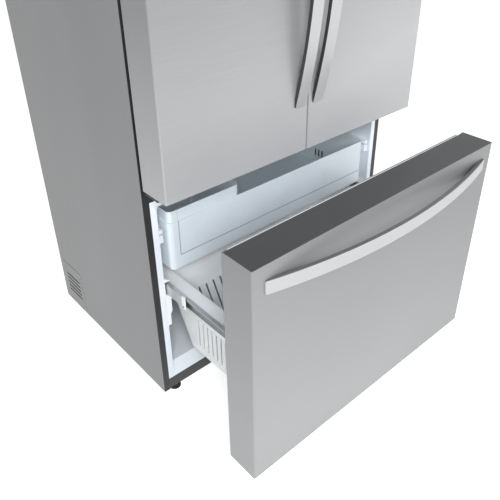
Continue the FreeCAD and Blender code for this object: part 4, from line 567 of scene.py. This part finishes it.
def makeSeal(node, body):
    low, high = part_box(node)
    piece = startBox(node + "Bellows", low, high)
    pick(piece, "FACE", lambda middle, normal: abs(normal.y) > 0.9)
    bpy.ops.mesh.inset(thickness=seal["width"])
    bpy.ops.mesh.bridge_edge_loops()
    pick(piece, "EDGE", lambda middle, line: abs(line.y) > 0.9)
    bpy.ops.mesh.subdivide(number_cuts=4)
    depth = high[1] - low[1]
    pick(piece, "FACE", lambda middle, normal: abs(normal.y) < 0.1
         and (0.2 < (middle.y - low[1]) / depth < 0.4 or 0.6 < (middle.y - low[1]) / depth < 0.8))
    bpy.ops.mesh.extrude_region_shrink_fatten(TRANSFORM_OT_shrink_fatten={"value": -seal["groove"]})
    roundOff(piece, seal["round"], 2)
    finishPiece(piece, "seal", body, (node,))


# ---- screw and rivet heads with a round recess
screw = {
    "radius": 0.0042,
    "height": 0.0022,
    "recess": 0.0011,
}


def makeScrews(name, places, out, body, finish="galvanised", grow=1.0):
    # places lie on the surface that the heads stand on, out is the way they stand, such as "-y"
    axis = out[-1]
    sign = -1 if out[0] == "-" else 1
    tip = Vector([sign if letter == axis else 0 for letter in "xyz"])
    centre = Vector(places[0]) + tip * screw["height"] * grow / 2
    piece = startRound(name + "1", centre, screw["radius"] * grow, screw["height"] * grow, axis, 20)
    pick(piece, "FACE", lambda middle, normal: normal.dot(tip) > 0.9)
    bpy.ops.mesh.inset(thickness=screw["radius"] * grow * 0.55)
    bpy.ops.mesh.extrude_region_shrink_fatten(TRANSFORM_OT_shrink_fatten={"value": -screw["recess"] * grow})
    roundOff(piece, 0.0004 * grow, 2)
    finishPiece(piece, finish, body)
    for number, place in enumerate(places[1:], 2):
        more = copyPiece(piece, name + str(number), Vector(place) - Vector(places[0]))
        finishPiece(more, finish, body)


fixing = {
    "hingeAcross": (0.435, 0.391),    # places from the middle, the left side mirrored
    "hingeFace": -0.08155,
    "hingeLevel": 0.702,
    "housingDepths": (0.05, 0.2, 0.35),
    "housingLevel": 0.322,
    "bracketPlaces": ((0.408, 0.4165), (0.386, 0.4165), (0.408, 0.361)),
    "bracketThick": 0.0012,
    "bracketGrow": 0.8,
    "rivetBack": 0.005,    # from the middle member's front end
    "rivetUp": 0.008,
    "rivetGrow": 0.6,
}


def makeFixings(f):
    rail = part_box("drawer_rails")[0]
    wall = -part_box("gear_racks")[0][0]
    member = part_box("middle_rail_left")[0]
    clipFace = -(member[0] - clip["side"] + clip["sunk"])
    for side, sign, inward, outward in (("Left", -1, "+x", "-x"), ("Right", 1, "-x", "+x")):
        makeScrews("hingeScrew" + side, [(sign * across, f["hingeFace"], f["hingeLevel"])
                                         for across in f["hingeAcross"]], "-y", "cabinet")
        makeScrews("housingScrew" + side, [(sign * wall, depth, f["housingLevel"])
                                           for depth in f["housingDepths"]], inward, "cabinet")
        makeScrews("bracketScrew" + side, [(sign * across, rail[1] + f["bracketThick"], level)
                                           for across, level in f["bracketPlaces"]], "+y", "drawer",
                   grow=f["bracketGrow"])
        makeScrews("clipRivet" + side, [(sign * clipFace, member[1] + f["rivetBack"],
                                         member[2] + f["rivetUp"])], outward,
                   "middle_rail_" + side.lower(), "darkPlastic", f["rivetGrow"])


# ---- clip on the front end of each middle slide member
clip = {
    "length": 0.011,
    "side": 0.0011,    # wall outside the member's web
    "play": 0.0002,    # inside the member's tallest section
    "wall": 0.0036,    # above and below its flanges
    "reach": 0.003,    # inwards, clear of the drawer's member
    "lip": 0.0022,     # in front of its end
    "sunk": 0.0009,    # of its rivet
}


def makeClips():
    low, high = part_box("middle_rail_left")
    front = low[1]
    piece = startBox("slideClipLeft", (low[0] - clip["side"], front - clip["lip"], low[2] + clip["play"]),
                     (low[0] + clip["reach"], front + clip["length"], high[2] - clip["play"]))
    inner = startBox("clipRoom", (low[0] - 0.0001, front, low[2] + clip["wall"]),
                     (low[0] + 0.02, front + 0.02, high[2] - clip["wall"]))
    cutAway(piece, inner)
    roundOff(piece, 0.0005, 2)
    finishPiece(piece, "whitePlastic", "middle_rail_left")
    twin = copyPiece(piece, "slideClipRight", flip=True)
    finishPiece(twin, "whitePlastic", "middle_rail_right")


# ---- drain slots on the tray's right wall: dark slot-shaped pieces laid in the wall, painted shade in place of openings through it
traySlotShade = {
    "first": (0.3822, 0.1, 0.4655),
    "step": 0.0155,
    "count": 3,
    "length": 0.026,
    "width": 0.0048,
    "skin": 0.0009,
}


def makeTraySlotShades(t):
    x, y, z = t["first"]
    half = t["width"] / 2
    piece = startBox("traySlotShade1", (x - t["skin"], y - half, z - t["length"] / 2),
                     (x + 0.0004, y + half, z + t["length"] / 2))
    pick(piece, "EDGE", lambda middle, line: abs(line.x) > 0.9)
    bpy.ops.mesh.bevel(offset=half * 0.95, segments=4, affect="EDGES")
    pick(piece, "FACE", lambda middle, normal: normal.x < -0.9)
    bpy.ops.mesh.inset(thickness=half * 0.35)
    bpy.ops.mesh.extrude_region_shrink_fatten(TRANSFORM_OT_shrink_fatten={"value": -t["skin"] * 0.6})
    # the dark plastic is painted shade of a slot
    finishPiece(piece, "darkPlastic", "tray")
    for number in range(1, t["count"]):
        more = copyPiece(piece, "traySlotShade" + str(number + 1), (0, t["step"] * number, 0))
        finishPiece(more, "darkPlastic", "tray")


# ---- levelling feet: rubber pad, steel disc, hexagon and threaded stem
foot = {
    "pad": 0.004,
    "disc": 0.0075,
    "hexagon": 0.0105,
    "thread": 0.0011,
    "pitch": 0.00225,
    "rim": 0.0016,         # pad's edge around the disc
    "shoulder": 0.005,
    "crown": 0.001,
    "nutRadius": 0.0115,
    "stemRadius": 0.0052,
}


def makeFoot(node, body):
    low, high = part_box(node)
    x, y = (low[0] + high[0]) / 2, (low[1] + high[1]) / 2
    radius = (high[0] - low[0]) / 2
    pad = startRound(node + "Pad", (x, y, foot["pad"] / 2), radius, foot["pad"])
    pick(pad, "FACE", lambda middle, normal: normal.z > 0.9)
    bpy.ops.mesh.inset(thickness=foot["rim"])
    bpy.ops.mesh.extrude_region_move(TRANSFORM_OT_translate={"value": (0, 0, foot["disc"] - foot["pad"])})
    bpy.ops.mesh.inset(thickness=foot["shoulder"])
    bpy.ops.mesh.extrude_region_move(TRANSFORM_OT_translate={"value": (0, 0, foot["crown"])})
    roundOff(pad, 0.0007, 2)
    finishPiece(pad, "footRubber", body)
    grip = startRound(node + "Nut", (x, y, foot["disc"] + foot["crown"] + foot["hexagon"] / 2),
                      foot["nutRadius"], foot["hexagon"], "z", 6)
    roundOff(grip, 0.0008, 2)
    finishPiece(grip, "galvanised", body)
    bottom = foot["disc"] + foot["crown"] + foot["hexagon"]
    turns = int((high[2] - bottom) / foot["pitch"])
    stem = startRound(node + "Stem", (x, y, bottom + turns * foot["pitch"] / 2), foot["stemRadius"],
                      turns * foot["pitch"], "z", 24)
    pick(stem, "EDGE", lambda middle, line: abs(line.z) > 0.9)
    bpy.ops.mesh.subdivide(number_cuts=2 * turns - 1)
    pick(stem, "EDGE", lambda middle, line: abs(line.z) < 0.1
         and round((middle.z - bottom) / foot["pitch"] * 2) % 2 == 1)
    thin = 1 - foot["thread"] / foot["stemRadius"]
    bpy.ops.transform.resize(value=(thin, thin, 1))
    finishPiece(stem, "galvanised", body)
    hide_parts(node)


makeCamera(view)
makeWorld(studio)
makeFloor(studio)
for lamp in studio["lamps"]:
    makeLamp(*lamp)
bpy.context.scene.view_settings.view_transform = "Standard"
print("camera, floor and light made")
dress()
print("CAD nodes dressed")
makeClips()
makeFixings(fixing)
makeTraySlotShades(traySlotShade)
for side in ("left", "right"):
    makeFoot("levelling_leg_" + side, "leg_" + side)
print("slide clips, screws and feet made")
for side in ("left", "right"):
    makeSeal(side + "_door_gasket", side + "_door")
makeSeal("drawer_gasket", "drawer")
print("seals made")
